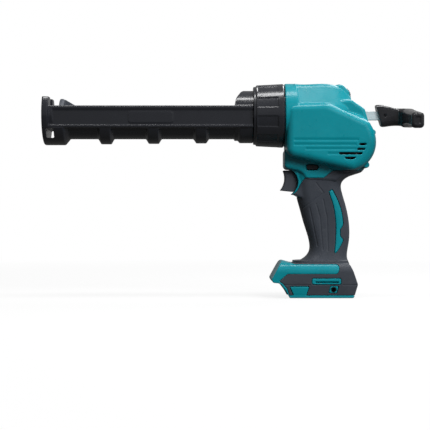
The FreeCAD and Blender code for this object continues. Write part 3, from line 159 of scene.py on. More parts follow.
def count_property(name, text, value):
    return IntProperty(name=name, description=text, default=value, min=1000)


def power_property(name, text, watts):
    return FloatProperty(name=name, description=text, default=watts, unit="POWER")


def share_property(name, text, value):
    return FloatProperty(name=name, description=text, default=value, min=0.0, max=1.0)


class HousingSettings(bpy.types.PropertyGroup):
    """Sizes and colours of the moulded housing"""

    colour: colour_property("Housing colour", "Colour of the hard housing", (0.0, 0.25, 0.305))
    worn: colour_property("Rubbed colour", "Colour of the housing's rubbed edges", (0.1, 0.42, 0.46))
    voxel: length_property("Edge softness", "Voxel size that rounds the moulded edges", 0.6)
    triangles: count_property("Triangles", "Largest triangle count of one half", 180000)


class CoverSettings(bpy.types.PropertyGroup):
    """Sizes and colours of the soft overmoulding"""

    colour: colour_property("Rubber colour", "Colour of the soft cover", (0.046, 0.053, 0.067))
    worn: colour_property("Dusty colour", "Colour of the cover's rubbed edges", (0.075, 0.08, 0.09))
    voxel: length_property("Edge softness", "Voxel size that rounds the cover's edges", 0.45)
    groove_depth: length_property("Groove depth", "Depth of the drawn lines", 0.45)
    groove_width: length_property("Groove reach", "How far a drawn line reaches to each side", 1.3)
    triangles: count_property("Triangles", "Largest triangle count of one half", 150000)


class HolderSettings(bpy.types.PropertyGroup):
    """Sizes and colours of the cartridge holder and its ring"""

    colour: colour_property("Holder colour", "Colour of the holder and ring", (0.0135, 0.015, 0.02))
    worn: colour_property("Rubbed colour", "Colour of the holder's rubbed edges", (0.05, 0.05, 0.055))
    voxel: length_property("Edge softness", "Voxel size that rounds the holder's edges", 0.55)
    triangles: count_property("Triangles", "Largest triangle count of the holder", 180000)


class MotionSettings(bpy.types.PropertyGroup):
    """Sizes and colours of the rod, handle and controls"""

    steel: colour_property("Rod colour", "Colour of the plated rod and piston screw", (0.66, 0.74, 0.77))
    handle: colour_property("Handle colour", "Colour of handle and lock-off button", (0.012, 0.0125, 0.015))
    control: colour_property("Control colour", "Colour of trigger, dial and piston", (0.064, 0.071, 0.085))
    rod_bevel: length_property("Rod bevel", "Broken edge of the rod", 0.35)
    voxel: length_property("Edge softness", "Voxel size that rounds the small pieces", 0.4)


class ScrewSettings(bpy.types.PropertyGroup):
    """Sizes of the screws that hold the housing and the gear case"""

    recess_depth: length_property("Recess depth", "Depth of the driver recess", 1.3)
    recess_radius: length_property("Recess radius", "Outer radius of the driver recess", 1.25)
    head_bevel: length_property("Head bevel", "Broken edge of the head", 0.35)
    colour: colour_property("Screw colour", "Colour of the blackened screws", (0.11, 0.11, 0.12))


class StageSettings(bpy.types.PropertyGroup):
    """Studio light, floor and camera"""

    distance: FloatProperty(
        name="Camera distance", description="From the rod's plane to the camera", default=1.5,
        unit="LENGTH")
    field: FloatProperty(
        name="Field width", description="Width of the view in the rod's plane", default=0.4945,
        unit="LENGTH")
    aim: FloatVectorProperty(
        name="Camera aim", description="Point the camera faces", default=(-0.07935, 0.0, -0.11385), size=3,
        subtype="TRANSLATION", unit="LENGTH")
    key: power_property("Key light", "Power of the overhead strip light", 9.0)
    fill: power_property("Fill light", "Power of the light to the right of the camera", 32.0)
    sheen: share_property("Fill sheen", "Share of the fill light that shows in reflections", 0.3)
    rim: power_property("Rim light", "Power of the light behind the handle", 5.0)
    ambient: share_property("Ambient", "Brightness of the surrounding light", 0.07)
    floor: colour_property("Floor colour", "Colour of the plain floor", (0.9, 0.9, 0.9))


SETTINGS = {
    "caulk_housing": HousingSettings,
    "caulk_cover": CoverSettings,
    "caulk_holder": HolderSettings,
    "caulk_motion": MotionSettings,
    "caulk_screws": ScrewSettings,
    "caulk_stage": StageSettings,
}


def set_inputs(tree, node, inputs):
    """Sets the node's inputs, or links them where the value is a socket."""
    for name, value in inputs.items():
        if isinstance(value, bpy.types.NodeSocket):
            tree.links.new(value, node.inputs[name])
        else:
            node.inputs[name].default_value = value


def add_node(tree, kind, settings=None, inputs=None):
    """A new node with its settings, and its inputs set or linked."""
    made = tree.nodes.new(kind)
    for name, value in (settings or {}).items():
        setattr(made, name, value)
    set_inputs(tree, made, inputs or {})
    return made


def rgba(colour):
    return (colour[0], colour[1], colour[2], 1.0)


def shade(colour, factor):
    """The colour made lighter or darker, with full opacity."""
    return rgba([min(1.0, factor * c) for c in colour])


def mixed(tree, factor, first, second):
    """Colour mix of two colours or sockets."""
    inputs = {0: factor, 6: first, 7: second}
    return add_node(tree, "ShaderNodeMix", {"data_type": "RGBA"}, inputs).outputs[2]


def ranged(tree, value, span, result):
    """The value's span mapped to a range of results."""
    return add_node(tree, "ShaderNodeMapRange", None, {
        "Value": value, "From Min": span[0], "From Max": span[1], "To Min": result[0], "To Max": result[1],
    }).outputs[0]


def calculated(tree, operation, first, second, clamp=False):
    """Result of a math node with two values."""
    settings = {"operation": operation, "use_clamp": clamp}
    return add_node(tree, "ShaderNodeMath", settings, {0: first, 1: second}).outputs[0]


def object_place(tree):
    return tree.nodes.new("ShaderNodeTexCoord").outputs["Object"]


def noise(tree, place, scale, detail, roughness=0.5):
    return add_node(tree, "ShaderNodeTexNoise", None, {
        "Vector": place, "Scale": scale, "Detail": detail, "Roughness": roughness}).outputs["Fac"]


def bumped(tree, height, strength, distance):
    """Normal of a surface with the given height relief."""
    return add_node(tree, "ShaderNodeBump", None, {
        "Height": height, "Strength": strength, "Distance": distance}).outputs["Normal"]


def new_group(name, inputs, outputs):
    """A shader node group with named float inputs and outputs."""
    tree = bpy.data.node_groups.new(name, "ShaderNodeTree")
    for label, value in inputs.items():
        socket = tree.interface.new_socket(name=label, in_out="INPUT", socket_type="NodeSocketFloat")
        socket.default_value = value
    for label in outputs:
        tree.interface.new_socket(name=label, in_out="OUTPUT", socket_type="NodeSocketFloat")
    return tree, tree.nodes.new("NodeGroupInput").outputs, tree.nodes.new("NodeGroupOutput")


def moulded_grain():
    """Fine spark-eroded grain and a slow unevenness of the moulded surface."""
    tree, start, end = new_group(
        "Moulded Grain", {"Grain Scale": 2200.0, "Sink Scale": 45.0}, ["Height", "Mottle"])
    place = object_place(tree)
    set_inputs(tree, end, {
        "Height": noise(tree, place, start["Grain Scale"], detail=2.0, roughness=0.55),
        "Mottle": noise(tree, place, start["Sink Scale"], detail=4.0, roughness=0.6),
    })
    return tree


def pebble_grain():
    """Small rounded pebbles of a soft overmoulding."""
    tree, start, end = new_group(
        "Pebble Grain", {"Pebble Scale": 1100.0, "Dust Scale": 60.0}, ["Height", "Dust"])
    place = object_place(tree)
    cells = add_node(tree, "ShaderNodeTexVoronoi", {"feature": "SMOOTH_F1"}, {
        "Vector": place, "Scale": start["Pebble Scale"], "Smoothness": 0.6})
    set_inputs(tree, end, {
        "Height": cells.outputs["Distance"],
        "Dust": noise(tree, place, start["Dust Scale"], detail=5.0, roughness=0.65),
    })
    return tree


def edge_wear():
    """Rubbed edges, broken up by noise, from the piece's own edge attribute."""
    tree, start, end = new_group("Edge Wear", {"Amount": 0.5, "Break-up Scale": 160.0}, ["Mask"])
    edge = add_node(tree, "ShaderNodeAttribute", {"attribute_name": "edge"}).outputs["Fac"]
    patches = noise(tree, object_place(tree), start["Break-up Scale"], detail=3.0, roughness=0.7)
    broken = ranged(tree, patches, span=(0.35, 0.65), result=(0.25, 1.0))
    rubbed = calculated(tree, "MULTIPLY", edge, broken)
    set_inputs(tree, end, {"Mask": calculated(tree, "MULTIPLY", rubbed, start["Amount"], clamp=True)})
    return tree


def drawn_streaks():
    """Fine streaks along the length of drawn or ground metal."""
    tree, start, end = new_group(
        "Drawn Streaks", {"Across Scale": 1400.0, "Along Scale": 12.0}, ["Streak", "Stain"])
    place = object_place(tree)
    size = add_node(tree, "ShaderNodeCombineXYZ", None, {
        "X": start["Along Scale"], "Y": start["Across Scale"], "Z": start["Across Scale"]}).outputs[0]
    stretched = add_node(tree, "ShaderNodeVectorMath", {"operation": "MULTIPLY"}, {0: place, 1: size})
    set_inputs(tree, end, {
        "Streak": noise(tree, stretched.outputs[0], scale=1.0, detail=3.0),
        "Stain": noise(tree, place, scale=70.0, detail=4.0),
    })
    return tree


GROUP_MAKERS = {
    "Moulded Grain": moulded_grain,
    "Pebble Grain": pebble_grain,
    "Edge Wear": edge_wear,
    "Drawn Streaks": drawn_streaks,
}


def place_group(tree, name, inputs):
    """The outputs of a shared node group, which is made at its first use."""
    shared = bpy.data.node_groups.get(name) or GROUP_MAKERS[name]()
    return add_node(tree, "ShaderNodeGroup", {"node_tree": shared}, inputs).outputs


def new_material(name):
    material = bpy.data.materials.new(name)
    material.use_nodes = True
    tree = material.node_tree
    return material, tree, tree.nodes["Principled BSDF"]


def moulded_plastic(name, colour, worn, roughness, grain=2200.0, depth=0.00004, wear=0.5, specular=0.5,
                    coat=0.0):
    """Hard moulded plastic: eroded grain, slight mottling, rubbed edges."""
    material, tree, shader = new_material(name)
    grains = place_group(tree, "Moulded Grain", {"Grain Scale": grain, "Sink Scale": 45.0})
    rubbed = place_group(tree, "Edge Wear", {"Amount": wear, "Break-up Scale": 160.0})
    body = mixed(tree, grains["Mottle"], shade(colour, 0.86), shade(colour, 1.1))
    set_inputs(tree, shader, {
        "Base Color": mixed(tree, rubbed["Mask"], body, rgba(worn)),
        "Roughness": ranged(tree, grains["Mottle"], NOISE_SPAN, (roughness - 0.05, roughness + 0.06)),
        "Specular IOR Level": specular,
        "Coat Weight": coat,
        "Coat Roughness": COAT_ROUGHNESS,
        "Normal": bumped(tree, grains["Height"], strength=0.5, distance=depth),
    })
    return material


def soft_rubber(name, colour, worn):
    """Soft overmoulded rubber: pebbled, dull, dusty along its edges."""
    material, tree, shader = new_material(name)
    pebbles = place_group(tree, "Pebble Grain", {"Pebble Scale": 1100.0, "Dust Scale": 60.0})
    rubbed = place_group(tree, "Edge Wear", {"Amount": 0.7, "Break-up Scale": 140.0})
    body = mixed(tree, pebbles["Dust"], shade(colour, 0.82), shade(colour, 1.18))
    set_inputs(tree, shader, {
        "Base Color": mixed(tree, rubbed["Mask"], body, rgba(worn)),
        "Roughness": ranged(tree, pebbles["Dust"], NOISE_SPAN, (0.44, 0.58)),
        "Specular IOR Level": 0.4,
        "Sheen Weight": 0.06,
        "Sheen Roughness": 0.4,
        "Normal": bumped(tree, pebbles["Height"], strength=0.55, distance=0.00012),
    })
    return material


def drawn_metal(name, colour, roughness, across=1400.0, along=12.0, metallic=1.0):
    """Drawn, ground or cast metal with streaks and faint stains."""
    material, tree, shader = new_material(name)
    streaks = place_group(tree, "Drawn Streaks", {"Across Scale": across, "Along Scale": along})
    set_inputs(tree, shader, {
        "Base Color": mixed(tree, streaks["Stain"], shade(colour, 0.84), shade(colour, 1.08)),
        "Roughness": ranged(tree, streaks["Streak"], NOISE_SPAN, (roughness - 0.08, roughness + 0.1)),
        "Metallic": metallic,
        "Normal": bumped(tree, streaks["Streak"], strength=0.25, distance=0.00003),
    })
    return material


def board_laminate(name):
    """Green printed board with pale tracks."""
    material, tree, shader = new_material(name)
    tracks = add_node(tree, "ShaderNodeTexBrick", {"offset": 0.5}, {
        "Vector": object_place(tree),
        "Scale": 180.0,
        "Mortar Size": 0.09,
        "Color1": (0.006, 0.09, 0.03, 1.0),
        "Color2": (0.008, 0.12, 0.04, 1.0),
        "Mortar": (0.05, 0.26, 0.1, 1.0),
    })
    set_inputs(tree, shader, {
        "Base Color": tracks.outputs["Color"],
        "Roughness": 0.35,
        "Normal": bumped(tree, tracks.outputs["Fac"], strength=0.3, distance=0.00005),
    })
    return material


def new_object(name, data):
    made = bpy.data.objects.new(name, data)
    bpy.context.scene.collection.objects.link(made)
    return made


def reworked(mesh, change):
    """Opens the mesh for editing, lets the change work on it and stores the result."""
    work = bmesh.new()
    work.from_mesh(mesh)
    change(work)
    work.to_mesh(mesh)
    work.free()


def weld(work):
    """Joins the corners that lie in one place."""
    bmesh.ops.remove_doubles(work, verts=work.verts, dist=WELD_DISTANCE)


def merge_flats(work):
    """Joins the triangles of each flat face."""
    bmesh.ops.dissolve_limit(work, angle_limit=FLAT_ANGLE, verts=work.verts, edges=work.edges)


def face_outward(work):
    bmesh.ops.recalc_face_normals(work, faces=work.faces)


def merged_copy(node, name):
    """The CAD node's mesh as a new object, its loose triangles joined."""
    source = NODES[node].data
    mesh = bpy.data.meshes.new(name)
    mesh.from_pydata([v.co[:] for v in source.vertices], [], [p.vertices[:] for p in source.polygons])
    reworked(mesh, weld)
    return new_object(name, mesh)


def made_plain(piece):
    """The piece's modifiers become its plain mesh."""
    graph = bpy.context.evaluated_depsgraph_get()
    result = bpy.data.meshes.new_from_object(piece.evaluated_get(graph), depsgraph=graph)
    old = piece.data
    piece.modifiers.clear()
    piece.data = result
    bpy.data.meshes.remove(old)
    result.name = piece.name


def rounded(piece, voxel, passes):
    """Gives the piece an even mesh with softly rounded edges, as a mould leaves them."""
    remesh = piece.modifiers.new("Rounding", "REMESH")
    remesh.mode = "VOXEL"
    remesh.voxel_size = voxel
    smooth = piece.modifiers.new("Easing", "SMOOTH")
    smooth.factor = EASING
    smooth.iterations = passes
    made_plain(piece)


def thinned(piece, triangles):
    """Brings the piece's mesh down to a number of triangles."""
    count = sum(len(p.vertices) - 2 for p in piece.data.polygons)
    if count > triangles:
        fewer = piece.modifiers.new("Thinning", "DECIMATE")
        fewer.ratio = triangles / count
        made_plain(piece)


def vectors(rows, field):
    """One field of all rows as an array with three columns."""
    flat = np.empty(len(rows) * 3, np.float32)
    rows.foreach_get(field, flat)
    return flat.reshape(-1, 3).astype(float)


def positions(mesh):
    return vectors(mesh.vertices, "co")


def normals(mesh):
    return vectors(mesh.vertex_normals, "vector")


def put_positions(mesh, spots):
    mesh.vertices.foreach_set("co", spots.astype(np.float32).ravel())
    mesh.update()


def edge_pairs(mesh):
    """The two vertex numbers of each edge."""
    flat = np.empty(len(mesh.edges) * 2, np.int32)
    mesh.edges.foreach_get("vertices", flat)
    return flat.reshape(-1, 2)


def neighbour_mean(mesh, values):
    """Mean of each vertex's neighbours, for values with one or three columns."""
    pairs = edge_pairs(mesh)
    total = np.zeros_like(values)
    count = np.zeros(len(values))
    for a, b in ((0, 1), (1, 0)):
        np.add.at(total, pairs[:, a], values[pairs[:, b]])
        np.add.at(count, pairs[:, a], 1.0)
    count = np.maximum(count, 1.0)
    return total / (count[:, None] if values.ndim == 2 else count)


def smooth_step(value):
    return value * value * (3.0 - 2.0 * value)


def mark_edges(piece):
    """Stores how convex the surface is, for the rubbed edges."""
    mesh = piece.data
    spots = positions(mesh)
    away = neighbour_mean(mesh, spots) - spots
    pairs = edge_pairs(mesh)
    step = np.linalg.norm(spots[pairs[:, 0]] - spots[pairs[:, 1]], axis=1).mean()
    bend = np.clip(-(away * normals(mesh)).sum(1) / max(step, TINY) * EDGE_GAIN, 0.0, 1.0)
    bend = 0.5 * bend + 0.5 * neighbour_mean(mesh, bend)
    layer = mesh.attributes.new("edge", "FLOAT", "POINT")
    layer.data.foreach_set("value", bend.astype(np.float32))


def finished(piece, material, node, smooth):
    """Gives the piece its finish and puts it in the place of its CAD node."""
    piece.data.materials.clear()
    piece.data.materials.append(material)
    if smooth:
        piece.data.shade_smooth()
    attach(piece, BODY_OF[node])
    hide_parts(node)


def softened(node, name, finish, voxel, passes, triangles=MOST_TRIANGLES, shape=None):
    """Makes a CAD piece with a mould's soft edges, its drawn detail and its finish."""
    piece = merged_copy(node, name)
    rounded(piece, voxel, passes)
    if shape:
        shape(piece)
    thinned(piece, triangles)
    mark_edges(piece)
    finished(piece, finish, node, smooth=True)


def line_distance(x, z, points):
    """Distance in millimetres from each place to a drawn line."""
    best = np.full(len(x), np.inf)
    for (ax, az), (bx, bz) in zip(points, points[1:]):
        length = (bx - ax) ** 2 + (bz - az) ** 2
        along = np.clip(((x - ax) * (bx - ax) + (z - az) * (bz - az)) / length, 0.0, 1.0)
        best = np.minimum(best, np.hypot(x - ax - along * (bx - ax), z - az - along * (bz - az)))
    return best


def groove(piece, lines, depth, width, side):
    """Sinks soft grooves along drawn lines into the piece's outer side."""
    mesh = piece.data
    spots = positions(mesh)
    facing = normals(mesh)
    x = spots[:, 0] / MM
    z = spots[:, 2] / MM
    sunk = np.zeros(len(spots))
    for points in lines:
        near = np.clip(1.0 - line_distance(x, z, points) / (width / MM), 0.0, 1.0)
        sunk = np.maximum(sunk, smooth_step(near))
    outward = np.clip(facing[:, 1] * side * OUTWARD_GAIN - OUTWARD_LEVEL, 0.0, 1.0)
    put_positions(mesh, spots - facing * (sunk * outward * depth)[:, None])


def eased(piece, low, high, fade, limit, passes):
    """Smooths the part of the piece inside a box by a limited amount, and fades out beyond it."""
    mesh = piece.data
    spots = positions(mesh)
    beyond = np.maximum(np.maximum(np.array(low) * MM - spots, spots - np.array(high) * MM), 0.0).max(1)
    share = np.clip(1.0 - beyond / (fade * MM), 0.0, 1.0)[:, None] * EASING
    smooth = spots.copy()
    for _ in range(passes):
        smooth += (neighbour_mean(mesh, smooth) - smooth) * share
    move = smooth - spots
    reach = np.maximum(np.linalg.norm(move, axis=1), TINY)[:, None]
    put_positions(mesh, spots + move * np.minimum(1.0, limit * MM / reach))


def islands(node):
    """Lowest and highest corner of each separate solid of a CAD node."""
    work = bmesh.new()
    work.from_mesh(NODES[node].data)
    weld(work)
    seen = set()
    boxes = []
    for vertex in work.verts:
        if vertex in seen:
            continue
        waiting = [vertex]
        seen.add(vertex)
        spots = []
        while waiting:
            here = waiting.pop()
            spots.append(here.co[:])
            for edge in here.link_edges:
                other = edge.other_vert(here)
                if other not in seen:
                    seen.add(other)
                    waiting.append(other)
        boxes.append((np.min(spots, axis=0), np.max(spots, axis=0)))
    work.free()
    return boxes


def screw_tree():
    """Node tree that sets a recessed pan-head screw on every point."""
    tree = bpy.data.node_groups.new("Screw Set", "GeometryNodeTree")
    tree.interface.new_socket(name="Points", in_out="INPUT", socket_type="NodeSocketGeometry")
    sizes = {
        "Head Radius": 0.003,
        "Head Height": 0.0022,
        "Shank Radius": 0.0015,
        "Recess Radius": 0.00125,
        "Recess Depth": 0.0013,
        "Head Bevel": 0.00035,
    }
    for label, value in sizes.items():
        socket = tree.interface.new_socket(name=label, in_out="INPUT", socket_type="NodeSocketFloat")
        socket.default_value = value
        socket.subtype = "DISTANCE"
    tree.interface.new_socket(name="Finish", in_out="INPUT", socket_type="NodeSocketMaterial")
    tree.interface.new_socket(name="Screws", in_out="OUTPUT", socket_type="NodeSocketGeometry")
    start = tree.nodes.new("NodeGroupInput").outputs
    end = tree.nodes.new("NodeGroupOutput")

    def made(kind, settings=None, **inputs):
        named = {label.replace("_", " "): value for label, value in inputs.items()}
        return add_node(tree, kind, settings, named).outputs[0]

    def less(first, second):
        return calculated(tree, "SUBTRACT", first, second)

    def negative(value):
        return calculated(tree, "MULTIPLY", value, -1.0)

    def down(depth):
        return made("ShaderNodeCombineXYZ", Z=negative(depth))

    def lowered(geometry, depth):
        return made("GeometryNodeTransform", Geometry=geometry, Translation=down(depth))

    def circle(radius, sides):
        return made("GeometryNodeCurvePrimitiveCircle", Resolution=sides, Radius=radius)

    def joined(*parts):
        join = tree.nodes.new("GeometryNodeJoinGeometry")
        for part in parts:
            tree.links.new(part, join.inputs[0])
        return join.outputs[0]

    def filled(*curves):
        return made("GeometryNodeFillCurve", Curve=joined(*curves))

    def sunk(faces, depth):
        return made("GeometryNodeExtrudeMesh", {"mode": "FACES"}, Mesh=faces, Offset=down(depth),
                    Offset_Scale=1.0, Individual=False)

    def tube(top, bottom, depth):
        wall = made("GeometryNodeMeshCone", {"fill_type": "NONE"}, Vertices=HEAD_SIDES, Radius_Top=top,
                    Radius_Bottom=bottom, Depth=depth)
        return lowered(wall, depth)

    head_radius = start["Head Radius"]
    head_height = start["Head Height"]
    head_bevel = start["Head Bevel"]
    shank_radius = start["Shank Radius"]
    recess_radius = start["Recess Radius"]
    top_radius = less(head_radius, head_bevel)
    inner_radius = calculated(tree, "MULTIPLY", recess_radius, RECESS_INNER_SHARE)
    star = made("GeometryNodeCurveStar", Points=RECESS_POINTS, Inner_Radius=inner_radius,
                Outer_Radius=recess_radius, Twist=0.0)
    land = filled(circle(top_radius, HEAD_SIDES), star)
    recess = sunk(filled(star), start["Recess Depth"])
    skirt = tube(top_radius, head_radius, head_bevel)
    side = lowered(tube(head_radius, head_radius, less(head_height, head_bevel)), head_bevel)
    seat = lowered(filled(circle(head_radius, HEAD_SIDES), circle(shank_radius, SHANK_SIDES)), head_height)
    shank = sunk(filled(circle(shank_radius, SHANK_SIDES)), 1.0)
    turn = (-math.pi / 2.0, 0.0, 0.0)
    heads = made("GeometryNodeInstanceOnPoints", Points=start["Points"],
                 Instance=joined(land, recess, skirt, side, seat), Rotation=turn)
    inward = made("ShaderNodeCombineXYZ", Y=negative(head_height))
    seats = made("GeometryNodeSetPosition", Geometry=start["Points"], Offset=inward)
    reach = made("GeometryNodeInputNamedAttribute", {"data_type": "FLOAT"}, Name="reach")
    stretch = made("ShaderNodeCombineXYZ", X=1.0, Y=1.0, Z=less(reach, head_height))
    shanks = made("GeometryNodeInstanceOnPoints", Points=seats, Instance=shank, Rotation=turn, Scale=stretch)
    real = made("GeometryNodeRealizeInstances", Geometry=joined(heads, shanks))
    welded = made("GeometryNodeMergeByDistance", Geometry=real, Distance=WELD_DISTANCE)
    dressed = made("GeometryNodeSetMaterial", Geometry=welded, Material=start["Finish"])
    tree.links.new(dressed, end.inputs[0])
    return tree


def set_input(modifier, label, value):
    """Sets a node modifier's input by its socket's identifier."""
    for item in modifier.node_group.interface.items_tree:
        if item.item_type == "SOCKET" and item.in_out == "INPUT" and item.name == label:
            modifier[item.identifier] = value
            return
    raise RuntimeError("the node tree has no input named " + label)


def seen_directly(tree, mirrored):
    """1 for camera and transmission rays, so that the background is white, and a share for glossy rays."""
    path = tree.nodes.new("ShaderNodeLightPath").outputs
    glossy = calculated(tree, "MULTIPLY", path["Is Glossy Ray"], mirrored)
    shiny = calculated(tree, "MAXIMUM", glossy, path["Is Transmission Ray"])
    return calculated(tree, "MAXIMUM", path["Is Camera Ray"], shiny)


def add_surround(scene, settings):
    """White surround that lights the tool only faintly."""
    world = bpy.data.worlds.new("Studio")
    scene.world = world
    world.use_nodes = True
    tree = world.node_tree
    seen = seen_directly(tree, WORLD_MIRRORED)
    set_inputs(tree, tree.nodes["Background"], {
        "Color": WHITE,
        "Strength": ranged(tree, seen, span=(0.0, 1.0), result=(settings.ambient, 1.0)),
    })


def floor_paper(settings):
    """Dull paper that shows white, with the tool's soft shadow, and hardly lights the tool."""
    material, tree, shader = new_material("Floor Paper")
    camera = tree.nodes.new("ShaderNodeLightPath").outputs["Is Camera Ray"]
    set_inputs(tree, shader, {
        "Base Color": mixed(tree, camera, shade(settings.floor, FLOOR_BOUNCE), rgba(settings.floor)),
        "Roughness": 0.9,
        "Specular IOR Level": 0.1,
    })
    white = add_node(tree, "ShaderNodeEmission", None, {"Color": WHITE, "Strength": 1.0}).outputs[0]
    away = add_node(tree, "ShaderNodeVectorMath", {"operation": "LENGTH"}, {0: object_place(tree)})
    glow = ranged(tree, away.outputs["Value"], FLOOR_FADE, FLOOR_WHITENESS)
    share = calculated(tree, "MULTIPLY", seen_directly(tree, FLOOR_MIRRORED), glow)
    blend = add_node(tree, "ShaderNodeMixShader", None, {0: share, 1: shader.outputs[0], 2: white})
    tree.links.new(blend.outputs[0], tree.nodes["Material Output"].inputs["Surface"])
    return material


def add_floor(settings):
    mesh = bpy.data.meshes.new("Floor")
    level = CAD_BOX[0][2] - FLOOR_GAP
    corners = [(x * FLOOR_HALF, y * FLOOR_HALF, level) for x, y in ((-1, -1), (1, -1), (1, 1), (-1, 1))]
    mesh.from_pydata(corners, [], [(0, 1, 2, 3)])
    floor = new_object("Floor", mesh)
    mesh.materials.append(floor_paper(settings))


def add_lamp(name, place, size, power):
    """A rectangular lamp that faces the tool."""
    light = bpy.data.lights.new(name, "AREA")
    light.shape = "RECTANGLE"
    light.size, light.size_y = size
    light.energy = power
    lamp = new_object(name, light)
    lamp.location = place
    lamp.rotation_euler = (LIGHT_AIM - Vector(place)).to_track_quat("-Z", "Y").to_euler()
    return lamp


def add_lamps(settings):
    """Key, fill and rim light. Most of the fill stays out of reflections."""
    sheen = settings.fill * settings.sheen
    add_lamp("Key", KEY_PLACE, KEY_SIZE, settings.key)
    add_lamp("Fill", FILL_PLACE, FILL_SIZE, settings.fill - sheen).visible_glossy = False
    add_lamp("Fill.Sheen", FILL_PLACE, FILL_SIZE, sheen)
    add_lamp("Rim", RIM_PLACE, RIM_SIZE, settings.rim)


def add_camera(scene, settings):
    camera = bpy.data.cameras.new("Camera")
    camera.sensor_width = SENSOR_WIDTH
    camera.lens = camera.sensor_width * settings.distance / settings.field
    camera.clip_end = FAR_CLIP
    eye = new_object("Camera", camera)
    eye.location = Vector(settings.aim) + Vector((0.0, -settings.distance, 0.0))
    eye.rotation_euler = (math.pi / 2.0, 0.0, 0.0)
    scene.camera = eye


class CAULK_OT_stage(bpy.types.Operator):
    """Floor, soft studio light and the camera"""

    bl_idname = "caulk.stage"
    bl_label = "Stage"

    def execute(self, context):
        settings = context.scene.caulk_stage
        context.scene.view_settings.view_transform = "Standard"
        add_surround(context.scene, settings)
        add_floor(settings)
        add_lamps(settings)
        add_camera(context.scene, settings)
        return {"FINISHED"}


class CAULK_OT_housing(bpy.types.Operator):
    """The two moulded halves of the housing"""

    bl_idname = "caulk.housing"
    bl_label = "Housing"

    def execute(self, context):
        settings = context.scene.caulk_housing
        finish = moulded_plastic("Housing Plastic", settings.colour, settings.worn, roughness=0.3,
                                 depth=0.00002, wear=0.2, specular=0.34, coat=0.08)
        for node, name in (("housing_left", "Housing.Left"), ("housing_right", "Housing.Right")):
            softened(node, name, finish, settings.voxel, passes=5, triangles=settings.triangles)
        return {"FINISHED"}


class CAULK_OT_covers(bpy.types.Operator):
    """The soft overmoulding of the grip and the foot"""

    bl_idname = "caulk.covers"
    bl_label = "Soft covers"

    def execute(self, context):
        settings = context.scene.caulk_cover
        finish = soft_rubber("Soft Cover", settings.colour, settings.worn)
        sides = (("grip_cover_left", "Cover.Left", -1.0), ("grip_cover_right", "Cover.Right", 1.0))
        for node, name, side in sides:
            softened(node, name, finish, settings.voxel, passes=2, triangles=settings.triangles,
                     shape=lambda piece: self.detail(piece, settings, side))
        return {"FINISHED"}

    def detail(self, piece, settings, side):
        """Eases the finger rest and sinks the drawn lines."""
        lines = GRIP_FLUTES + [FINGER_PANEL_EDGE, FOOT_LINE, FOOT_LINE_REAR]
        eased(piece, FINGER_REST_LOW, FINGER_REST_HIGH, fade=2.0, limit=0.7, passes=50)
        groove(piece, lines, settings.groove_depth, settings.groove_width, side)


class CAULK_OT_holder(bpy.types.Operator):
    """The open cartridge holder"""

    bl_idname = "caulk.holder"
    bl_label = "Cartridge holder"

    def execute(self, context):
        settings = context.scene.caulk_holder
        finish = moulded_plastic("Holder Plastic", settings.colour, settings.worn, roughness=0.25,
                                 grain=2600.0, depth=0.00001, wear=0.03, specular=0.5, coat=0.25)
        softened("holder", "Holder", finish, settings.voxel, passes=6, triangles=settings.triangles)
        return {"FINISHED"}


class CAULK_OT_ring(bpy.types.Operator):
    """The ring that locks the holder"""

    bl_idname = "caulk.ring"
    bl_label = "Locking ring"

    def execute(self, context):
        settings = context.scene.caulk_holder
        finish = moulded_plastic("Ring Plastic", settings.colour, settings.worn, roughness=0.26,
                                 grain=2600.0, depth=0.00001, wear=0.03, specular=0.6, coat=0.25)
        voxel = settings.voxel * 0.8
        softened("holder_ring", "Locking.Ring", finish, voxel, passes=6, triangles=settings.triangles)
        return {"FINISHED"}


class CAULK_OT_rod(bpy.types.Operator):
    """The toothed rod"""

    bl_idname = "caulk.rod"
    bl_label = "Rod"

    def execute(self, context):
        settings = context.scene.caulk_motion
        finish = drawn_metal("Rod Steel", settings.steel, roughness=0.34, across=900.0, along=6.0,
                             metallic=0.35)
        rod = merged_copy("rod", "Rod")
        reworked(rod.data, merge_flats)
        bevel = rod.modifiers.new("Broken edges", "BEVEL")
        bevel.width = settings.rod_bevel
        bevel.segments = 2
        bevel.limit_method = "ANGLE"
        made_plain(rod)
        mark_edges(rod)
        finished(rod, finish, "rod", smooth=False)
        return {"FINISHED"}


class CAULK_OT_piston(bpy.types.Operator):
    """The ribbed piston on the rod's end"""

    bl_idname = "caulk.piston"
    bl_label = "Piston"

    def execute(self, context):
        settings = context.scene.caulk_motion
        finish = moulded_plastic("Piston Plastic", settings.control, worn=(0.07, 0.07, 0.075),
                                 roughness=0.45, wear=0.08, specular=0.3)
        softened("piston", "Piston", finish, settings.voxel, passes=1)
        return {"FINISHED"}


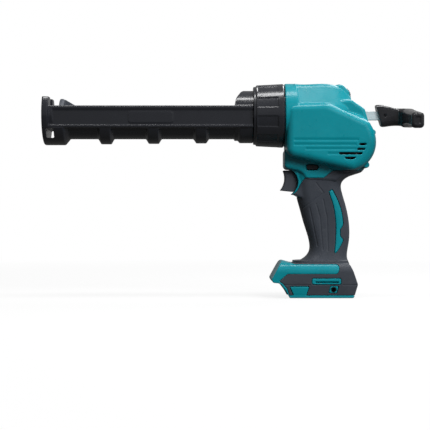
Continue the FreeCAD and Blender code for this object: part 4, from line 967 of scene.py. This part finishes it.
class CAULK_OT_handle(bpy.types.Operator):
    """The glossy pull handle, with a socket in its end"""

    bl_idname = "caulk.handle"
    bl_label = "Pull handle"

    def execute(self, context):
        settings = context.scene.caulk_motion
        finish = moulded_plastic("Handle Gloss", settings.handle, worn=(0.05, 0.05, 0.055), roughness=0.22,
                                 grain=1500.0, depth=0.000006, wear=0.03, specular=0.5, coat=0.12)
        softened("rod_handle", "Pull.Handle", finish, settings.voxel, passes=6, shape=self.socket)
        return {"FINISHED"}

    def socket(self, piece):
        """Sinks a rounded six-sided socket into the handle's flat end."""
        mesh = piece.data
        spots = positions(mesh)
        flat = spots[:, 1].min()
        end = spots[spots[:, 1] < flat + SOCKET_BAND * MM]
        middle = (end.min(0) + end.max(0)) / 2.0
        size = (end.max(0) - end.min(0)) / 2.0 * SOCKET_SHARE
        across = (spots - middle) / np.maximum(size, TINY)
        x = np.abs(across[:, 0])
        z = np.abs(across[:, 2])
        out = np.maximum(x, SOCKET_FLANK_Z * z + SOCKET_FLANK_X * x)
        near = np.clip((1.0 - np.maximum(out, z)) / SOCKET_RIM, 0.0, 1.0)
        close = np.clip(1.0 - (spots[:, 1] - flat) / (SOCKET_REACH * MM), 0.0, 1.0)
        spots[:, 1] += smooth_step(near) * close * SOCKET_DEPTH * MM
        put_positions(mesh, spots)


class CAULK_OT_controls(bpy.types.Operator):
    """Trigger, lock-off button and speed dial"""

    bl_idname = "caulk.controls"
    bl_label = "Controls"

    def execute(self, context):
        settings = context.scene.caulk_motion
        finish = moulded_plastic("Control Plastic", settings.control, worn=(0.09, 0.09, 0.1), roughness=0.46,
                                 grain=2000.0, wear=0.4, specular=0.3)
        dark = moulded_plastic("Button Plastic", settings.handle, worn=(0.05, 0.05, 0.055), roughness=0.36,
                               grain=2000.0, wear=0.3, specular=0.3)
        fine = settings.voxel * 0.6
        softened("trigger", "Trigger", finish, settings.voxel, passes=2)
        softened("lock_button", "Lock.Button", dark, fine, passes=2)
        softened("speed_dial", "Speed.Dial", finish, fine, passes=2)
        return {"FINISHED"}


class CAULK_OT_screws(bpy.types.Operator):
    """Screws of the housing and the gear case"""

    bl_idname = "caulk.screws"
    bl_label = "Screws"

    def execute(self, context):
        settings = context.scene.caulk_screws
        tree = screw_tree()
        finish = drawn_metal("Screw Steel", settings.colour, roughness=0.42, across=1800.0, along=300.0)
        for node, name in (("housing_screws", "Housing.Screws"), ("case_screws", "Gearbox.Screws")):
            piece, head = self.points(node, name)
            nodes = piece.modifiers.new("Screw set", "NODES")
            nodes.node_group = tree
            set_input(nodes, "Head Radius", head)
            set_input(nodes, "Head Height", HEAD_HEIGHT_SHARE * head)
            set_input(nodes, "Recess Radius", settings.recess_radius)
            set_input(nodes, "Recess Depth", settings.recess_depth)
            set_input(nodes, "Head Bevel", settings.head_bevel)
            set_input(nodes, "Finish", finish)
            made_plain(piece)
            reworked(piece.data, face_outward)
            finished(piece, finish, node, smooth=False)
        return {"FINISHED"}

    def points(self, node, name):
        """A point with the screw's length on each screw's crown, and the radius of the heads."""
        boxes = islands(node)
        mesh = bpy.data.meshes.new(name)
        mesh.from_pydata([((lo[0] + hi[0]) / 2.0, hi[1], (lo[2] + hi[2]) / 2.0) for lo, hi in boxes], [], [])
        reach = mesh.attributes.new("reach", "FLOAT", "POINT")
        reach.data.foreach_set("value", [float(hi[1] - lo[1]) for lo, hi in boxes])
        low, high = boxes[0]
        return new_object(name, mesh), float(high[0] - low[0]) / 2.0


class CAULK_OT_inner(bpy.types.Operator):
    """Finishes of the pieces that keep their CAD mesh"""

    bl_idname = "caulk.inner"
    bl_label = "Inner works"

    def execute(self, context):
        settings = context.scene.caulk_motion
        by_slot = {
            "steel": drawn_metal("Gear Steel", (0.55, 0.56, 0.58), roughness=0.32),
            "case_metal": drawn_metal("Cast Alloy", (0.3, 0.3, 0.31), roughness=0.58,
                                      across=500.0, along=500.0),
            "bush_plastic": moulded_plastic("Bush Plastic", (0.05, 0.05, 0.05), (0.1, 0.1, 0.1),
                                            roughness=0.5),
            "insert_brass": drawn_metal("Turned Brass", (0.62, 0.42, 0.16), roughness=0.3,
                                        across=1200.0, along=1200.0),
            "motor_steel": drawn_metal("Motor Can", (0.32, 0.33, 0.35), roughness=0.38,
                                       across=700.0, along=700.0),
            "magnet": moulded_plastic("Magnet", (0.03, 0.03, 0.033), (0.06, 0.06, 0.06), roughness=0.6),
            "inner_plastic": moulded_plastic("Inner Plastic", (0.02, 0.02, 0.021), (0.05, 0.05, 0.05),
                                             roughness=0.45),
            "board": board_laminate("Board Laminate"),
            "lead_black": soft_rubber("Lead Sleeve", (0.012, 0.012, 0.012), (0.03, 0.03, 0.03)),
        }
        plated = drawn_metal("Plated Screw", settings.steel, roughness=0.3)
        # Dark steel for the handle pin and the hook inserts: its dark colour is painted shade that stands
        # for the shade inside their holes, not a blackened finish.
        blackened = drawn_metal("Dark Steel Painted Shade", (0.035, 0.035, 0.038), roughness=0.4)
        by_node = {"handle_pin": blackened, "hook_inserts": blackened, "piston_screw": plated}
        for node, solid in NODES.items():
            if solid.hide_render:
                continue
            solid.data.materials.clear()
            solid.data.materials.append(by_node.get(node) or by_slot[SLOT_OF[node]])
        return {"FINISHED"}


OPERATORS = (
    CAULK_OT_stage,
    CAULK_OT_housing,
    CAULK_OT_covers,
    CAULK_OT_holder,
    CAULK_OT_ring,
    CAULK_OT_rod,
    CAULK_OT_piston,
    CAULK_OT_handle,
    CAULK_OT_controls,
    CAULK_OT_screws,
    CAULK_OT_inner,
)


class CAULK_PT_panel(bpy.types.Panel):
    """Lists the tool's sizes, colours and building steps"""

    bl_idname = "CAULK_PT_panel"
    bl_label = "Caulking Tool"
    bl_space_type = "VIEW_3D"
    bl_region_type = "UI"
    bl_category = "Caulking Tool"

    def draw(self, context):
        for name, group in SETTINGS.items():
            box = self.layout.box()
            box.label(text=group.__doc__)
            values = getattr(context.scene, name)
            for field in group.__annotations__:
                box.prop(values, field)
        for operator in OPERATORS:
            self.layout.operator(operator.bl_idname)


CLASSES = tuple(SETTINGS.values()) + OPERATORS + (CAULK_PT_panel,)


def register():
    for one in CLASSES:
        bpy.utils.register_class(one)
    for name, group in SETTINGS.items():
        setattr(bpy.types.Scene, name, PointerProperty(type=group))


def unregister():
    for name in SETTINGS:
        delattr(bpy.types.Scene, name)
    for one in reversed(CLASSES):
        bpy.utils.unregister_class(one)


def main():
    register()
    bpy.ops.caulk.stage()
    bpy.ops.caulk.housing()
    bpy.ops.caulk.covers()
    bpy.ops.caulk.holder()
    bpy.ops.caulk.ring()
    bpy.ops.caulk.rod()
    bpy.ops.caulk.piston()
    bpy.ops.caulk.handle()
    bpy.ops.caulk.controls()
    bpy.ops.caulk.screws()
    bpy.ops.caulk.inner()


if __name__ == "__main__":
    main()
